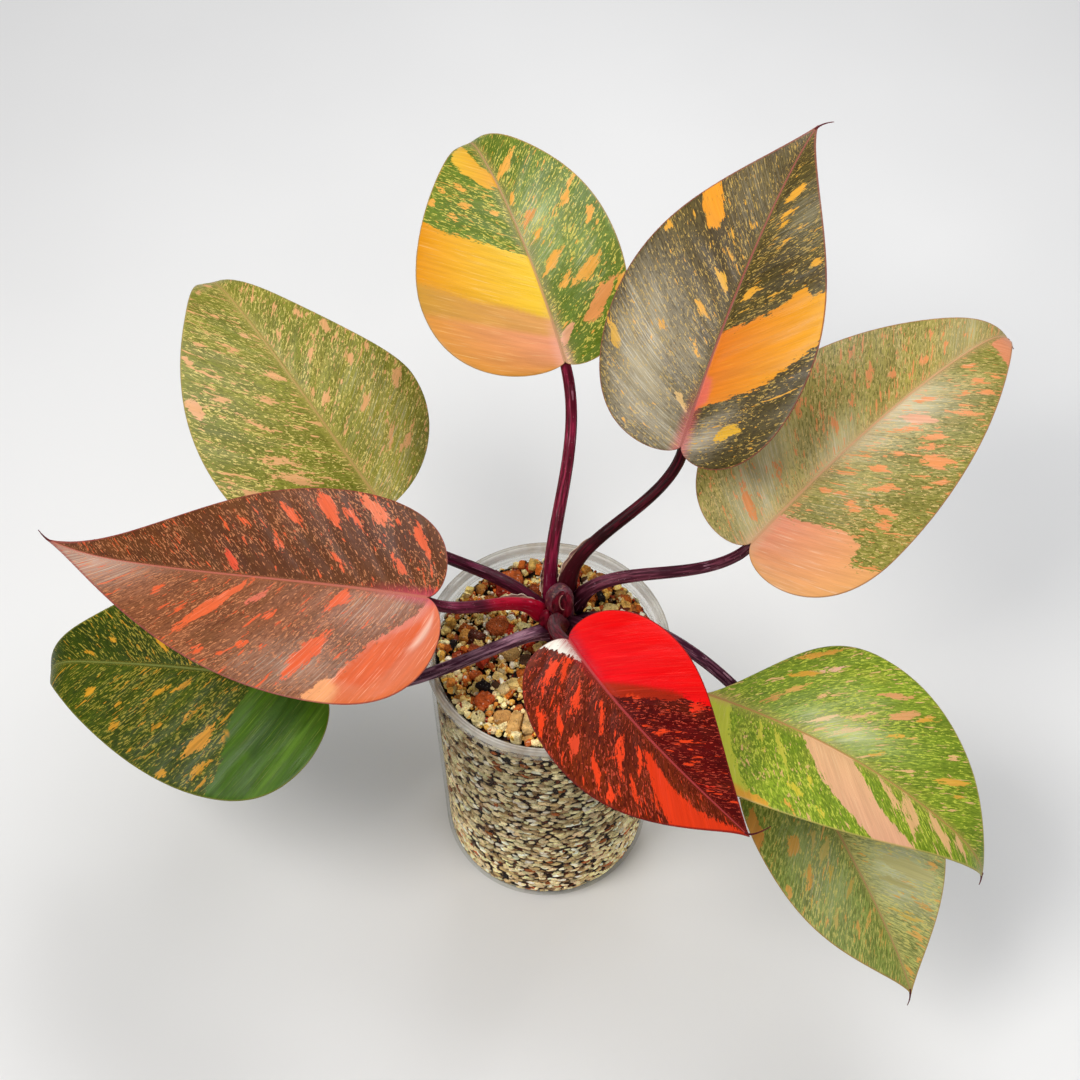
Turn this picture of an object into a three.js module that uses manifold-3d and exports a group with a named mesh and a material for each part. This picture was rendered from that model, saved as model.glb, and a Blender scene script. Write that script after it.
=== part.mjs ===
// A young philodendron with nine variegated leaves, in a tall clear nursery pot filled with a chunky mix.
// Millimetres and degrees, +Z up. The origin is the middle of the pot's underside.
import * as THREE from "three";
import { mergeVertices } from "three/addons/utils/BufferGeometryUtils.js";
import Module from "manifold-3d";

const wasm = await Module();
wasm.setup();

// Driving dimensions
const GAP = 0.3; // between pieces that touch
const POT_HEIGHT = 155;
const POT_RIM_RADIUS = 52;
const MIX_TOP = 148.5; // mean height of the mix
const STEM_X = 5;
const STEM_Y = 10;

// Pot
const WALL = 1.4;
const FLOOR = 1.6;
const POT_SIDES = 44;
const FOOT_ROUND = 9; // radius between the underside and the wall
const POT_BASE_RADIUS = 48;
const POT_NECK_RADIUS = 50.2; // body just below the collar
const COLLAR_RADIUS = 51;
const COLLAR_HEIGHT = 8;
const LIP_INNER_RADIUS = 49;
const LIP_THICKNESS = 2.4;
const LIP_BEVEL = 0.8;
const COLLAR_FLARE = 0.6; // height of the slope from the collar out to the lip
const LEDGE_RADIUS = 47; // the stacking ledge inside the collar
const LEDGE_DEPTH = 6; // below the rim
const LEDGE_HEIGHT = 1; // of the ledge's inner edge
const DRAIN_HOLES = 8;
const DRAIN_RADIUS = 3;
const DRAIN_RING = 30;
const DRAIN_SIDES = 10;

// Mix
const MIX_RINGS = 15;
const GRAIN_CELL = 7;
const GRAIN_RELIEF = 1.5;
const MIX_MOUND = 1.6; // rise of the middle over the edge
const MIX_SHOULDER = 1.6; // below the collar, where the mix draws in under the ledge
const MIX_EDGE = 2.6; // depth of its edge below the ledge

// Stem and petioles
const STEM_RADIUS = 6.2;
const STEM_FOOT = 112; // depth that the stem reaches in the mix
const STEM_TOP = 181;
const STEM_SIDES = 18;
const RING_SPACING = 9; // between the rings where leaves have fallen
const RING_WIDTH = 2.4;
const PETIOLE_SIDES = 8;
const PETIOLE_STEPS = 11;
const PETIOLE_BASE_RADIUS = 3.2;
const PETIOLE_END_RADIUS = 2.3;
const PETIOLE_REACH = 0.36; // length of the arch's handles as a share of its span
const PETIOLE_UNDERLAP = 1.5; // how far it runs on under the blade

// Leaf blades
const BLADE_ROWS = 17; // side veins between base and tip
const BLADE_COLUMNS = [0.07, 0.3, 0.55, 0.8, 1]; // shares of the way from midrib to margin
const MIDRIB_STEPS = 60;
const BLADE_THICKNESS = 0.7;
const RIB_DEPTH = 0.9; // the midrib stands out below
const RIB_TAPER = 0.7; // share of the rib's depth lost on the way to the tip
const CHANNEL_DEPTH = 0.2; // and is sunk above
const VEIN_SWEEP = 2; // how strongly the side veins lean to the tip
const TIP_TAPER = 0.15;
const RIPPLES = 2.4;
const RIPPLE = 1.1;
const RIPPLE_SHIFT = 1.7; // radians from one leaf to the next
const CURL_START = 0.75; // share of the midrib where the tip starts to curl

// Each leaf: where its blade starts, the way its midrib points (heading from +X, pitch above level), the
// roll about it, how it bows sideways, droops, swings and curls along its length, its length, the fullness
// of its tip, and the fold and the sag of its halves. Each half has its width and, as shares of the length,
// the back reach of its lobe, its widest place and how far its fullness runs on from there. sheath is where
// the petiole leaves the stem; knee is its angle to the blade.
const LEAVES = {
  leaf_1: {
    base: [7.4, 92.2, 228], heading: 109, bow: 1.5, pitch: 28, roll: -10, droop: 46, swing: 2, curl: 72,
    length: 133, tip: 0.16, fold: 5, sag: 3.5,
    left: { width: 50, lobe: 0.03, widest: 0.31, full: 0.27 },
    right: { width: 37.5, lobe: 0.04, widest: 0.33, full: 0.37 },
    sheath: { azimuth: 110, height: 160, steepness: 72 }, knee: 14, colour: 0xb9a03a,
  },
  leaf_2: {
    base: [53.5, 47.8, 228], heading: 66, bow: 1, pitch: 41.5, roll: -9.5, droop: 19, swing: -8.5, curl: 14,
    length: 140.5, tip: 0.15, fold: 9, sag: 2.7,
    left: { width: 48, lobe: 0.05, widest: 0.31, full: 0.33 },
    right: { width: 42, lobe: 0.06, widest: 0.32, full: 0.31 },
    sheath: { azimuth: 70, height: 171, steepness: 70 }, knee: 16, colour: 0x8c6a2c,
  },
  leaf_3: {
    base: [84.2, 28.4, 188], heading: 40.5, bow: -0.6, pitch: 24, roll: 10, droop: 44, swing: 0.5, curl: 43,
    length: 167, tip: 0.24, fold: 7.5, sag: 4,
    left: { width: 46, lobe: 0.06, widest: 0.22, full: 0.33 },
    right: { width: 47.5, lobe: 0.065, widest: 0.21, full: 0.39 },
    sheath: { azimuth: 30, height: 165, steepness: 66 }, knee: 2, colour: 0x9a8038,
  },
  leaf_4: {
    base: [63.5, -30.3, 166], heading: -33, bow: 0.7, pitch: 18, roll: -16.5, droop: 50, swing: -6.5,
    curl: 52, length: 139.5, tip: 0.15, fold: 3.5, sag: 1,
    left: { width: 57.5, lobe: -0.07, widest: 0.36, full: 0.36 },
    right: { width: 49, lobe: 0.04, widest: 0.28, full: 0.27 },
    sheath: { azimuth: -50, height: 164, steepness: 50 }, knee: 4, colour: 0x9fae40,
  },
  leaf_5: {
    base: [100.2, -41.4, 140], heading: -59.5, bow: 2.3, pitch: -20, roll: -3.5, droop: 22, swing: -3.5,
    curl: 8, length: 113, tip: 0.19, fold: 14.5, sag: 1.8,
    left: { width: 45, lobe: 0.1, widest: 0.29, full: 0.36 },
    right: { width: 39.5, lobe: 0.1, widest: 0.27, full: 0.41 },
    sheath: { azimuth: -10, height: 158, steepness: 42 }, knee: 6, colour: 0x84703a,
  },
  leaf_6: {
    base: [7.75, -42, 226], heading: -57, bow: 2, pitch: -11.5, roll: 2.5, droop: 11.5, swing: 20.5,
    curl: 4.5, length: 98.5, tip: 0.21, fold: 12.5, sag: 3.5,
    left: { width: 33.5, lobe: 0.06, widest: 0.27, full: 0.27 },
    right: { width: 34.5, lobe: 0.05, widest: 0.36, full: 0.33 },
    sheath: { azimuth: -90, height: 169, steepness: 68 }, knee: 42, colour: 0xa02a1c,
  },
  leaf_7: {
    base: [-47.6, -9.4, 205], heading: 173.5, bow: 6.5, pitch: 5.5, roll: -4, droop: 11.5, swing: -12,
    curl: -28, length: 154, tip: 0.09, fold: 5.5, sag: 3,
    left: { width: 52.5, lobe: 0.07, widest: 0.21, full: 0.36 },
    right: { width: 44, lobe: 0.06, widest: 0.23, full: 0.32 },
    sheath: { azimuth: 190, height: 167, steepness: 60 }, knee: 26, colour: 0x96452e,
  },
  leaf_8: {
    base: [-68.8, 52.8, 178], heading: 134.5, bow: -1.8, pitch: 34, roll: 16, droop: 44, swing: -8.5,
    curl: 72, length: 145.5, tip: 0.13, fold: 2.5, sag: 3.5,
    left: { width: 59.5, lobe: 0.03, widest: 0.27, full: 0.34 },
    right: { width: 54, lobe: 0.005, widest: 0.3, full: 0.18 },
    sheath: { azimuth: 150, height: 159, steepness: 52 }, knee: 4, colour: 0x9d9a3c,
  },
  leaf_9: {
    base: [-95, -16.5, 148], heading: 165, bow: 2, pitch: -6, roll: -17, droop: 13, swing: 3.5, curl: 105,
    length: 142, tip: 0.2, fold: 3.5, sag: 4,
    left: { width: 53.5, lobe: 0.08, widest: 0.24, full: 0.34 },
    right: { width: 46.5, lobe: 0.1, widest: 0.27, full: 0.29 },
    sheath: { azimuth: 230, height: 159, steepness: 51 }, knee: 8, colour: 0x5f6a2a,
  },
};

// Stubs of fallen leaves, low on the stem between the petioles
const STUBS = {
  leaf_stub_1: { azimuth: 256, height: 153.5, rise: 16, length: 13, radius: 2.6 },
  leaf_stub_2: { azimuth: 92, height: 154, rise: 22, length: 9, radius: 2.2 },
};

// Larger lumps lying half sunk in the top of the mix: place, half sizes, turn and kind
const LUMPS = {
  bark_piece_1: { at: [-7, -34], half: [3.2, 6.4, 3], turn: -12, kind: "bark" },
  bark_piece_2: { at: [-21, 12], half: [5.2, 4.6, 2.8], turn: 35, kind: "bark" },
  bark_piece_3: { at: [-15, 36], half: [5, 4.6, 3], turn: 10, kind: "bark" },
  bark_piece_4: { at: [22, 33], half: [4.2, 6.2, 3], turn: -28, kind: "bark" },
  bark_piece_5: { at: [-26, -24], half: [4, 3.4, 2.6], turn: 50, kind: "bark" },
  pumice_piece_1: { at: [-15.5, -1.5], half: [4, 4.6, 2.8], turn: 40, kind: "pumice" },
  pumice_piece_2: { at: [-18.5, -32], half: [4.2, 3.4, 2.8], turn: 0, kind: "pumice" },
  pumice_piece_3: { at: [-28.5, -31.5], half: [3.4, 3.2, 2.4], turn: 20, kind: "pumice" },
  pumice_piece_4: { at: [1, 37], half: [3.4, 4.8, 2.8], turn: 4, kind: "pumice" },
  pumice_piece_5: { at: [27, 20], half: [3.8, 3.6, 2.8], turn: -20, kind: "pumice" },
};
const LUMP_SUNK = 0.35; // share of a lump's height that is in the mix
const LUMP_ROUGHNESS = 0.16;

const COLOURS = {
  pot: { color: 0xdcdcd2, roughness: 0.25, transparent: true, opacity: 0.45 },
  mix: { color: 0x4a3a2c, roughness: 0.95 },
  bark: { color: 0xb4713a, roughness: 0.9 },
  pumice: { color: 0xd9bf86, roughness: 0.95 },
  stem: { color: 0x4a1a20, roughness: 0.6 },
  petiole: { color: 0x5c1c2c, roughness: 0.5 },
};

const radians = THREE.MathUtils.degToRad;
const { lerp } = THREE.MathUtils;

// A repeatable draw between 0 and 1 for whole numbers a and b
function draw(a, b) {
  const wave = Math.sin(a * 127.1 + b * 311.7) * 43758.5453;
  return wave - Math.floor(wave);
}

function geometryOf(positions, indices) {
  const geometry = new THREE.BufferGeometry();
  geometry.setAttribute("position", new THREE.Float32BufferAttribute(positions, 3));
  geometry.setIndex(indices);
  return geometry;
}

function named(name, geometry, look) {
  geometry.computeVertexNormals();
  const mesh = new THREE.Mesh(geometry, new THREE.MeshStandardMaterial({ metalness: 0, ...look }));
  mesh.name = name;
  return mesh;
}

// Joins and cuts
function solid(geometry) {
  const bare = geometry.clone();
  bare.deleteAttribute("normal");
  bare.deleteAttribute("uv");
  const merged = mergeVertices(bare, 1e-4);
  return new wasm.Manifold(
    new wasm.Mesh({
      numProp: 3,
      vertProperties: merged.attributes.position.array,
      triVerts: new Uint32Array(merged.index.array),
    }),
  );
}

function cutFrom(geometry, tools) {
  let body = solid(geometry);
  for (const tool of tools) body = body.subtract(solid(tool));
  const mesh = body.getMesh();
  return geometryOf(Array.from(mesh.vertProperties), Array.from(mesh.triVerts));
}

function standingCylinder(x, y, bottom, top, radius, sides) {
  const cylinder = new THREE.CylinderGeometry(radius, radius, top - bottom, sides);
  cylinder.rotateX(Math.PI / 2);
  cylinder.translate(x, y, (top + bottom) / 2);
  return cylinder;
}

// A profile of [radius, height] points turned about the Z axis; it starts and ends on the axis
function turned(profile, sides) {
  const lathe = new THREE.LatheGeometry(
    profile.map(([radius, height]) => new THREE.Vector2(radius, height)),
    sides,
  );
  lathe.rotateX(Math.PI / 2);
  return lathe;
}

// Points of a quarter round from the underside up to the wall
function footRound(centreRadius, centreHeight, radius, steps) {
  return Array.from({ length: steps + 1 }, (_, step) => {
    const angle = radians(-90 + (90 * step) / steps);
    return [centreRadius + radius * Math.cos(angle), centreHeight + radius * Math.sin(angle)];
  });
}

// Pot: floor, wall, collar, lip and the stacking ledge that the photo shows inside the rim
function potGeometry() {
  const collarBottom = POT_HEIGHT - COLLAR_HEIGHT;
  const lipBottom = POT_HEIGHT - LIP_THICKNESS;
  const ledge = POT_HEIGHT - LEDGE_DEPTH;
  const innerRound = FOOT_ROUND - WALL;
  const roundCentre = POT_BASE_RADIUS - FOOT_ROUND;
  const outside = [
    [0, 0],
    ...footRound(roundCentre, FOOT_ROUND, FOOT_ROUND, 5),
    [POT_NECK_RADIUS, collarBottom - 1],
    [COLLAR_RADIUS, collarBottom],
    [COLLAR_RADIUS, lipBottom - COLLAR_FLARE],
    [POT_RIM_RADIUS, lipBottom],
    [POT_RIM_RADIUS, POT_HEIGHT - LIP_BEVEL],
    [POT_RIM_RADIUS - LIP_BEVEL, POT_HEIGHT],
  ];
  const inside = [
    [LIP_INNER_RADIUS + 0.6, POT_HEIGHT],
    [LIP_INNER_RADIUS, POT_HEIGHT - LIP_BEVEL],
    [LIP_INNER_RADIUS - 0.3, lipBottom],
    [LEDGE_RADIUS, ledge + 0.6 * LEDGE_HEIGHT],
    [LEDGE_RADIUS, ledge - 0.4 * LEDGE_HEIGHT],
    [POT_NECK_RADIUS - WALL, collarBottom - 0.8],
    ...footRound(roundCentre, FLOOR + innerRound, innerRound, 4).reverse(),
    [0, FLOOR],
  ];
  const holes = Array.from({ length: DRAIN_HOLES }, (_, hole) => {
    const angle = ((hole + 0.5) * 2 * Math.PI) / DRAIN_HOLES;
    const x = DRAIN_RING * Math.cos(angle);
    const y = DRAIN_RING * Math.sin(angle);
    return standingCylinder(x, y, -1, FLOOR + 1, DRAIN_RADIUS, DRAIN_SIDES);
  });
  return cutFrom(turned([...outside, ...inside], POT_SIDES), holes);
}

// Height of the mix's grains over its mean level, from one rounded grain in each cell of a grid
function grainRelief(x, y) {
  const column = Math.floor(x / GRAIN_CELL);
  const row = Math.floor(y / GRAIN_CELL);
  let highest = 0;
  for (let i = column - 1; i <= column + 1; i++) {
    for (let j = row - 1; j <= row + 1; j++) {
      const grainX = (i + draw(i, j)) * GRAIN_CELL;
      const grainY = (j + draw(j, i + 50)) * GRAIN_CELL;
      const radius = GRAIN_CELL * (0.45 + 0.35 * draw(i + 9, j));
      const share = Math.hypot(x - grainX, y - grainY) / radius;
      if (share > 1) continue;
      const height = Math.sqrt(1 - share * share) * (0.5 + draw(i, j + 7));
      highest = Math.max(highest, height);
    }
  }
  return (highest - 0.5) * GRAIN_RELIEF;
}

function mixHeight(x, y) {
  const share = Math.hypot(x, y) / LEDGE_RADIUS;
  return MIX_TOP + MIX_MOUND * (0.5 - share * share) + grainRelief(x, y);
}

// Mix: fills the pot up to the ledge. Its top is raised in grains, with the stem's hole and lumps' seats
function mixGeometry() {
  const bodyRadius = POT_NECK_RADIUS - WALL - GAP;
  const topRadius = LEDGE_RADIUS - GAP;
  const shoulder = POT_HEIGHT - COLLAR_HEIGHT - MIX_SHOULDER;
  const innerRound = FOOT_ROUND - WALL - GAP;
  const roundCentre = POT_BASE_RADIUS - FOOT_ROUND;
  const bottom = FLOOR + GAP;
  const edgeHeight = POT_HEIGHT - LEDGE_DEPTH - MIX_EDGE;
  const topRings = Array.from({ length: MIX_RINGS }, (_, ring) => {
    return [(topRadius * (MIX_RINGS - ring)) / MIX_RINGS, MIX_TOP];
  });
  const profile = [
    [0, bottom],
    ...footRound(roundCentre, bottom + innerRound, innerRound, 3),
    [bodyRadius, shoulder],
    [topRadius, edgeHeight],
    ...topRings,
    [0, MIX_TOP],
  ];
  const body = turned(profile, POT_SIDES);
  const position = body.attributes.position;
  for (let i = 0; i < position.count; i++) {
    if (position.getZ(i) < MIX_TOP - 0.01) continue;
    position.setZ(i, mixHeight(position.getX(i), position.getY(i)));
  }
  const hole = standingCylinder(
    STEM_X, STEM_Y, STEM_FOOT - GAP, POT_HEIGHT, STEM_RADIUS + GAP, STEM_SIDES,
  );
  const seats = Object.values(LUMPS).map((lump) => lumpGeometry(lump, GAP));
  return cutFrom(body, [hole, ...seats]);
}

// A rough lump: a ball of flat facets, stretched, turned and half sunk in the mix
function lumpGeometry({ at: [x, y], half: [halfX, halfY, halfZ], turn, kind }, grow = 0) {
  const geometry = new THREE.IcosahedronGeometry(1, 1);
  const position = geometry.attributes.position;
  const corner = new THREE.Vector3();
  for (let i = 0; i < position.count; i++) {
    corner.fromBufferAttribute(position, i);
    const a = Math.round(corner.x * 50);
    const b = Math.round(corner.y * 50) + Math.round(corner.z * 31);
    const rough = 1 + LUMP_ROUGHNESS * (draw(a + x, b + y) - 0.5) * 2;
    const square = kind === "bark" ? 1.12 : 1; // bark breaks in blocks
    corner.multiplyScalar(rough);
    corner.x = THREE.MathUtils.clamp(corner.x * square, -0.9, 0.9);
    corner.y = THREE.MathUtils.clamp(corner.y * square, -0.95, 0.95);
    corner.multiply(new THREE.Vector3(halfX + grow, halfY + grow, halfZ + grow));
    position.setXYZ(i, corner.x, corner.y, corner.z);
  }
  geometry.rotateZ(radians(turn));
  const level = MIX_TOP + MIX_MOUND * (0.5 - (x * x + y * y) / LEDGE_RADIUS ** 2);
  geometry.translate(x, y, level + halfZ * (1 - 2 * LUMP_SUNK));
  return geometry;
}

// A round tube through points, each with its radius, closed at both ends
function tubeGeometry(points, radii, sides) {
  const positions = [];
  const indices = [];
  const tangents = points.map((_, i) => {
    const after = points[Math.min(i + 1, points.length - 1)];
    const before = points[Math.max(i - 1, 0)];
    return after.clone().sub(before).normalize();
  });
  const across = new THREE.Vector3(0, 0, 1).cross(tangents[0]);
  if (across.lengthSq() < 1e-6) across.set(1, 0, 0);
  points.forEach((point, i) => {
    across.addScaledVector(tangents[i], -across.dot(tangents[i])).normalize();
    const upward = new THREE.Vector3().crossVectors(tangents[i], across);
    for (let side = 0; side < sides; side++) {
      const angle = (2 * Math.PI * side) / sides;
      const corner = point.clone();
      corner.addScaledVector(across, Math.cos(angle) * radii[i]);
      corner.addScaledVector(upward, Math.sin(angle) * radii[i]);
      positions.push(corner.x, corner.y, corner.z);
    }
  });
  const first = positions.length / 3;
  const last = first + 1;
  const end = points.length - 1;
  positions.push(...points[0].toArray(), ...points[end].toArray());
  for (let side = 0; side < sides; side++) {
    const next = (side + 1) % sides;
    for (let ring = 0; ring < end; ring++) {
      const a = ring * sides + side;
      const b = ring * sides + next;
      indices.push(a, b, b + sides, a, b + sides, a + sides);
    }
    indices.push(first, next, side, last, end * sides + side, end * sides + next);
  }
  return geometryOf(positions, indices);
}

function direction(heading, pitch) {
  const level = Math.cos(radians(pitch));
  const turn = radians(heading);
  return new THREE.Vector3(level * Math.cos(turn), level * Math.sin(turn), Math.sin(radians(pitch)));
}

// Stem: a short post with rings where leaves have fallen and a rounded tip
function stemGeometry() {
  const rings = [];
  for (let height = MIX_TOP + 3; height < STEM_TOP - 8; height += RING_SPACING) {
    rings.push([STEM_RADIUS - 0.2, height]);
    rings.push([STEM_RADIUS - 0.7, height + RING_WIDTH / 2]);
    rings.push([STEM_RADIUS - 0.2, height + RING_WIDTH]);
  }
  const stem = turned(
    [
      [0, STEM_FOOT],
      [STEM_RADIUS * 0.7, STEM_FOOT],
      [STEM_RADIUS, STEM_FOOT + 6],
      ...rings,
      [STEM_RADIUS - 0.6, STEM_TOP - 5],
      [STEM_RADIUS * 0.6, STEM_TOP - 1.4],
      [0, STEM_TOP],
    ],
    STEM_SIDES,
  );
  stem.translate(STEM_X, STEM_Y, 0);
  return stem;
}

// Where a petiole or a stub leaves the stem
function besideStem(azimuth, height, radius) {
  const angle = radians(azimuth);
  return new THREE.Vector3(STEM_X + radius * Math.cos(angle), STEM_Y + radius * Math.sin(angle), height);
}

function stubGeometry({ azimuth, height, rise, length, radius }) {
  const start = besideStem(azimuth, height, STEM_RADIUS + radius * Math.sin(radians(rise)));
  const way = direction(azimuth, rise);
  const shares = [0, 0.35, 0.7, 0.92, 1];
  const widths = [1, 0.95, 1.08, 0.9, 0.45];
  return tubeGeometry(
    shares.map((share) => start.clone().addScaledVector(way, share * length)),
    widths.map((width) => width * radius),
    8,
  );
}

// Midrib of a leaf by arc length: its points and, at each, the ways along, to the left and up
function midrib(leaf) {
  const frames = [];
  const point = new THREE.Vector3(...leaf.base);
  let before = null;
  for (let step = 0; step <= MIDRIB_STEPS; step++) {
    const s = step / MIDRIB_STEPS;
    const curl = Math.max(0, (s - CURL_START) / (1 - CURL_START)) ** 2;
    const pitch = leaf.pitch - leaf.droop * s ** 1.5 - leaf.curl * curl;
    const heading = leaf.heading + leaf.swing * s + leaf.bow * Math.sin(Math.PI * s);
    const along = direction(heading, pitch);
    const level = direction(heading + 90, 0);
    const upright = new THREE.Vector3().crossVectors(along, level);
    const roll = radians(leaf.roll);
    const left = level.clone().multiplyScalar(Math.cos(roll)).addScaledVector(upright, Math.sin(roll));
    const up = upright.clone().multiplyScalar(Math.cos(roll)).addScaledVector(level, -Math.sin(roll));
    if (before) point.addScaledVector(along.clone().add(before), leaf.length / MIDRIB_STEPS / 2);
    frames.push({ point: point.clone(), along, left, up });
    before = along;
  }
  return frames;
}

function bezier(t, points) {
  const u = 1 - t;
  const shares = [u * u * u, 3 * u * u * t, 3 * u * t * t, t * t * t];
  return [0, 1].map((axis) => points.reduce((sum, point, i) => sum + shares[i] * point[axis], 0));
}

// Half outline of a blade, as shares of its length and of its half width: round the lobe to the widest
// place, then in one sweep to the drawn-out tip
function margin({ lobe, widest, full }, tip, t) {
  if (t < 0.5) {
    return bezier(2 * t, [[0, 0], [-1.25 * lobe, 0.08], [-1.15 * lobe, 1], [widest, 1]]);
  }
  return bezier(2 * t - 1, [[widest, 1], [widest + full, 1], [1 - TIP_TAPER, tip], [1, 0]]);
}

// A point of the blade: on the side vein t, at the share s of the way from the midrib to the margin
function bladePoint(leaf, frames, phase, t, s, side) {
  const half = side > 0 ? leaf.left : leaf.right;
  const [marginX, marginY] = margin(half, leaf.tip, t);
  const x = lerp(t ** VEIN_SWEEP, marginX, s);
  const y = marginY * s;
  const place = Math.min(1, Math.max(0, x)) * MIDRIB_STEPS;
  const step = Math.min(MIDRIB_STEPS - 1, Math.floor(place));
  const mix = (key) => frames[step][key].clone().lerp(frames[step + 1][key], place - step);
  const fold = radians(leaf.fold);
  const wave = Math.sin(2 * Math.PI * RIPPLES * t + phase + side);
  const ripple = RIPPLE * s * s * Math.sin(Math.PI * t) * wave;
  const lift = y * half.width * Math.sin(fold) - leaf.sag * y * y + ripple;
  const up = mix("up");
  const point = mix("point")
    .addScaledVector(mix("along"), Math.min(0, x) * leaf.length)
    .addScaledVector(mix("left"), side * y * half.width * Math.cos(fold))
    .addScaledVector(up, lift);
  return { point, up };
}

// Blade: two faces with the same rows and columns, thick along the midrib and thin at the margin
function bladeGeometry(leaf, number) {
  const frames = midrib(leaf);
  const phase = number * RIPPLE_SHIFT;
  const columns = [...BLADE_COLUMNS].reverse().map((s) => [s, 1]);
  columns.push([0, 1], ...BLADE_COLUMNS.map((s) => [s, -1]));
  const width = columns.length;
  const positions = [];
  const indices = [];
  const addRow = (t, places) => {
    const top = [];
    const bottom = [];
    for (const [s, side] of places) {
      const { point, up } = bladePoint(leaf, frames, phase, t, s, side);
      const rib = Math.max(0, 1 - s / BLADE_COLUMNS[1]) * (1 - RIB_TAPER * t);
      const above = BLADE_THICKNESS / 2 - CHANNEL_DEPTH * (s === 0 ? 1 : 0);
      const below = BLADE_THICKNESS / 2 + RIB_DEPTH * rib;
      top.push(point.clone().addScaledVector(up, above).toArray());
      bottom.push(point.clone().addScaledVector(up, -below).toArray());
    }
    const start = positions.length / 3;
    positions.push(...top.flat(), ...bottom.flat());
    return start;
  };
  const baseRow = addRow(0, [[0, 1]]);
  const rows = [];
  for (let row = 1; row < BLADE_ROWS; row++) rows.push(addRow(row / BLADE_ROWS, columns));
  const tipRow = addRow(1, [[0, 1]]);

  const face = (a, b, c) => indices.push(a[0], b[0], c[0], a[1], c[1], b[1]);
  const at = (row, column) => [row + column, row + width + column];
  const wall = (a, b) => indices.push(a[0], b[0], b[1], a[0], b[1], a[1]);
  const base = [baseRow, baseRow + 1];
  const tip = [tipRow, tipRow + 1];
  for (let column = 0; column < width - 1; column++) {
    face(base, at(rows[0], column + 1), at(rows[0], column));
    for (let row = 0; row < rows.length - 1; row++) {
      const [near, far] = [rows[row], rows[row + 1]];
      face(at(near, column), at(near, column + 1), at(far, column + 1));
      face(at(near, column), at(far, column + 1), at(far, column));
    }
    face(tip, at(rows.at(-1), column), at(rows.at(-1), column + 1));
  }
  wall(base, at(rows[0], 0));
  wall(at(rows[0], width - 1), base);
  for (let row = 0; row < rows.length - 1; row++) {
    wall(at(rows[row], 0), at(rows[row + 1], 0));
    wall(at(rows[row + 1], width - 1), at(rows[row], width - 1));
  }
  wall(at(rows.at(-1), 0), tip);
  wall(tip, at(rows.at(-1), width - 1));
  return geometryOf(positions, indices);
}

// Petiole: from beside the stem, up and over in one arch, to just under the start of the blade's midrib
function petioleGeometry(leaf) {
  const { azimuth, height, steepness } = leaf.sheath;
  const lean = PETIOLE_BASE_RADIUS * Math.sin(radians(steepness));
  const start = besideStem(azimuth, height, STEM_RADIUS + lean);
  const { point, along, up } = midrib(leaf)[0];
  const knee = radians(leaf.knee);
  const under = BLADE_THICKNESS / 2 + RIB_DEPTH + PETIOLE_END_RADIUS * Math.cos(knee) + GAP;
  const end = point.clone().addScaledVector(up, -under).addScaledVector(along, PETIOLE_UNDERLAP);
  const arrival = along.clone().multiplyScalar(Math.cos(knee)).addScaledVector(up, Math.sin(knee));
  const reach = start.distanceTo(end) * PETIOLE_REACH;
  const curve = new THREE.CubicBezierCurve3(
    start,
    start.clone().addScaledVector(direction(azimuth, steepness), reach),
    end.clone().addScaledVector(arrival, -reach),
    end,
  );
  const radii = Array.from({ length: PETIOLE_STEPS + 1 }, (_, step) => {
    return lerp(PETIOLE_BASE_RADIUS, PETIOLE_END_RADIUS, Math.sqrt(step / PETIOLE_STEPS));
  });
  return tubeGeometry(curve.getPoints(PETIOLE_STEPS), radii, PETIOLE_SIDES);
}

const plant = new THREE.Group();
plant.add(named("pot", potGeometry(), COLOURS.pot));
plant.add(named("potting_mix", mixGeometry(), COLOURS.mix));
plant.add(named("stem", stemGeometry(), COLOURS.stem));
for (const [name, stub] of Object.entries(STUBS)) {
  plant.add(named(name, stubGeometry(stub), COLOURS.stem));
}
for (const [name, lump] of Object.entries(LUMPS)) {
  plant.add(named(name, lumpGeometry(lump), COLOURS[lump.kind]));
}
Object.entries(LEAVES).forEach(([name, leaf], index) => {
  plant.add(named(`${name}_petiole`, petioleGeometry(leaf), COLOURS.petiole));
  const look = { color: leaf.colour, roughness: 0.45 };
  plant.add(named(`${name}_blade`, bladeGeometry(leaf, index + 1), look));
});

export default plant;
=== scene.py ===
"""A young philodendron with nine variegated leaves, in a tall clear nursery pot of chunky mix.

Tables and formulas are in millimetres and degrees, in the CAD frame; mesh_object() turns them to metres.
"""

import math
from contextlib import contextmanager

import bmesh
import bpy
import numpy as np
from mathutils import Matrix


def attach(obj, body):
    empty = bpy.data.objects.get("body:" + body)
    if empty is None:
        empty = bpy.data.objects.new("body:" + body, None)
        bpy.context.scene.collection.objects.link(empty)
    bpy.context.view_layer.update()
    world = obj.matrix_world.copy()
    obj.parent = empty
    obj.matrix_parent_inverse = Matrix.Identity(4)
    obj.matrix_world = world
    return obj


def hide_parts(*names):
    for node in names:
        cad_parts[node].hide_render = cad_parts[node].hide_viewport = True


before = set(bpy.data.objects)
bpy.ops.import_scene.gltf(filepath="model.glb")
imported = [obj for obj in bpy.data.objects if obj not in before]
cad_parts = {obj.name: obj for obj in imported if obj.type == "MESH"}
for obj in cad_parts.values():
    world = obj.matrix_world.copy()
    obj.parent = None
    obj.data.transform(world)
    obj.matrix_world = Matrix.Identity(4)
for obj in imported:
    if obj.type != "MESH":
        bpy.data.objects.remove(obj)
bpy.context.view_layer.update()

MM = 0.001
scene = bpy.context.scene

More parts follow.
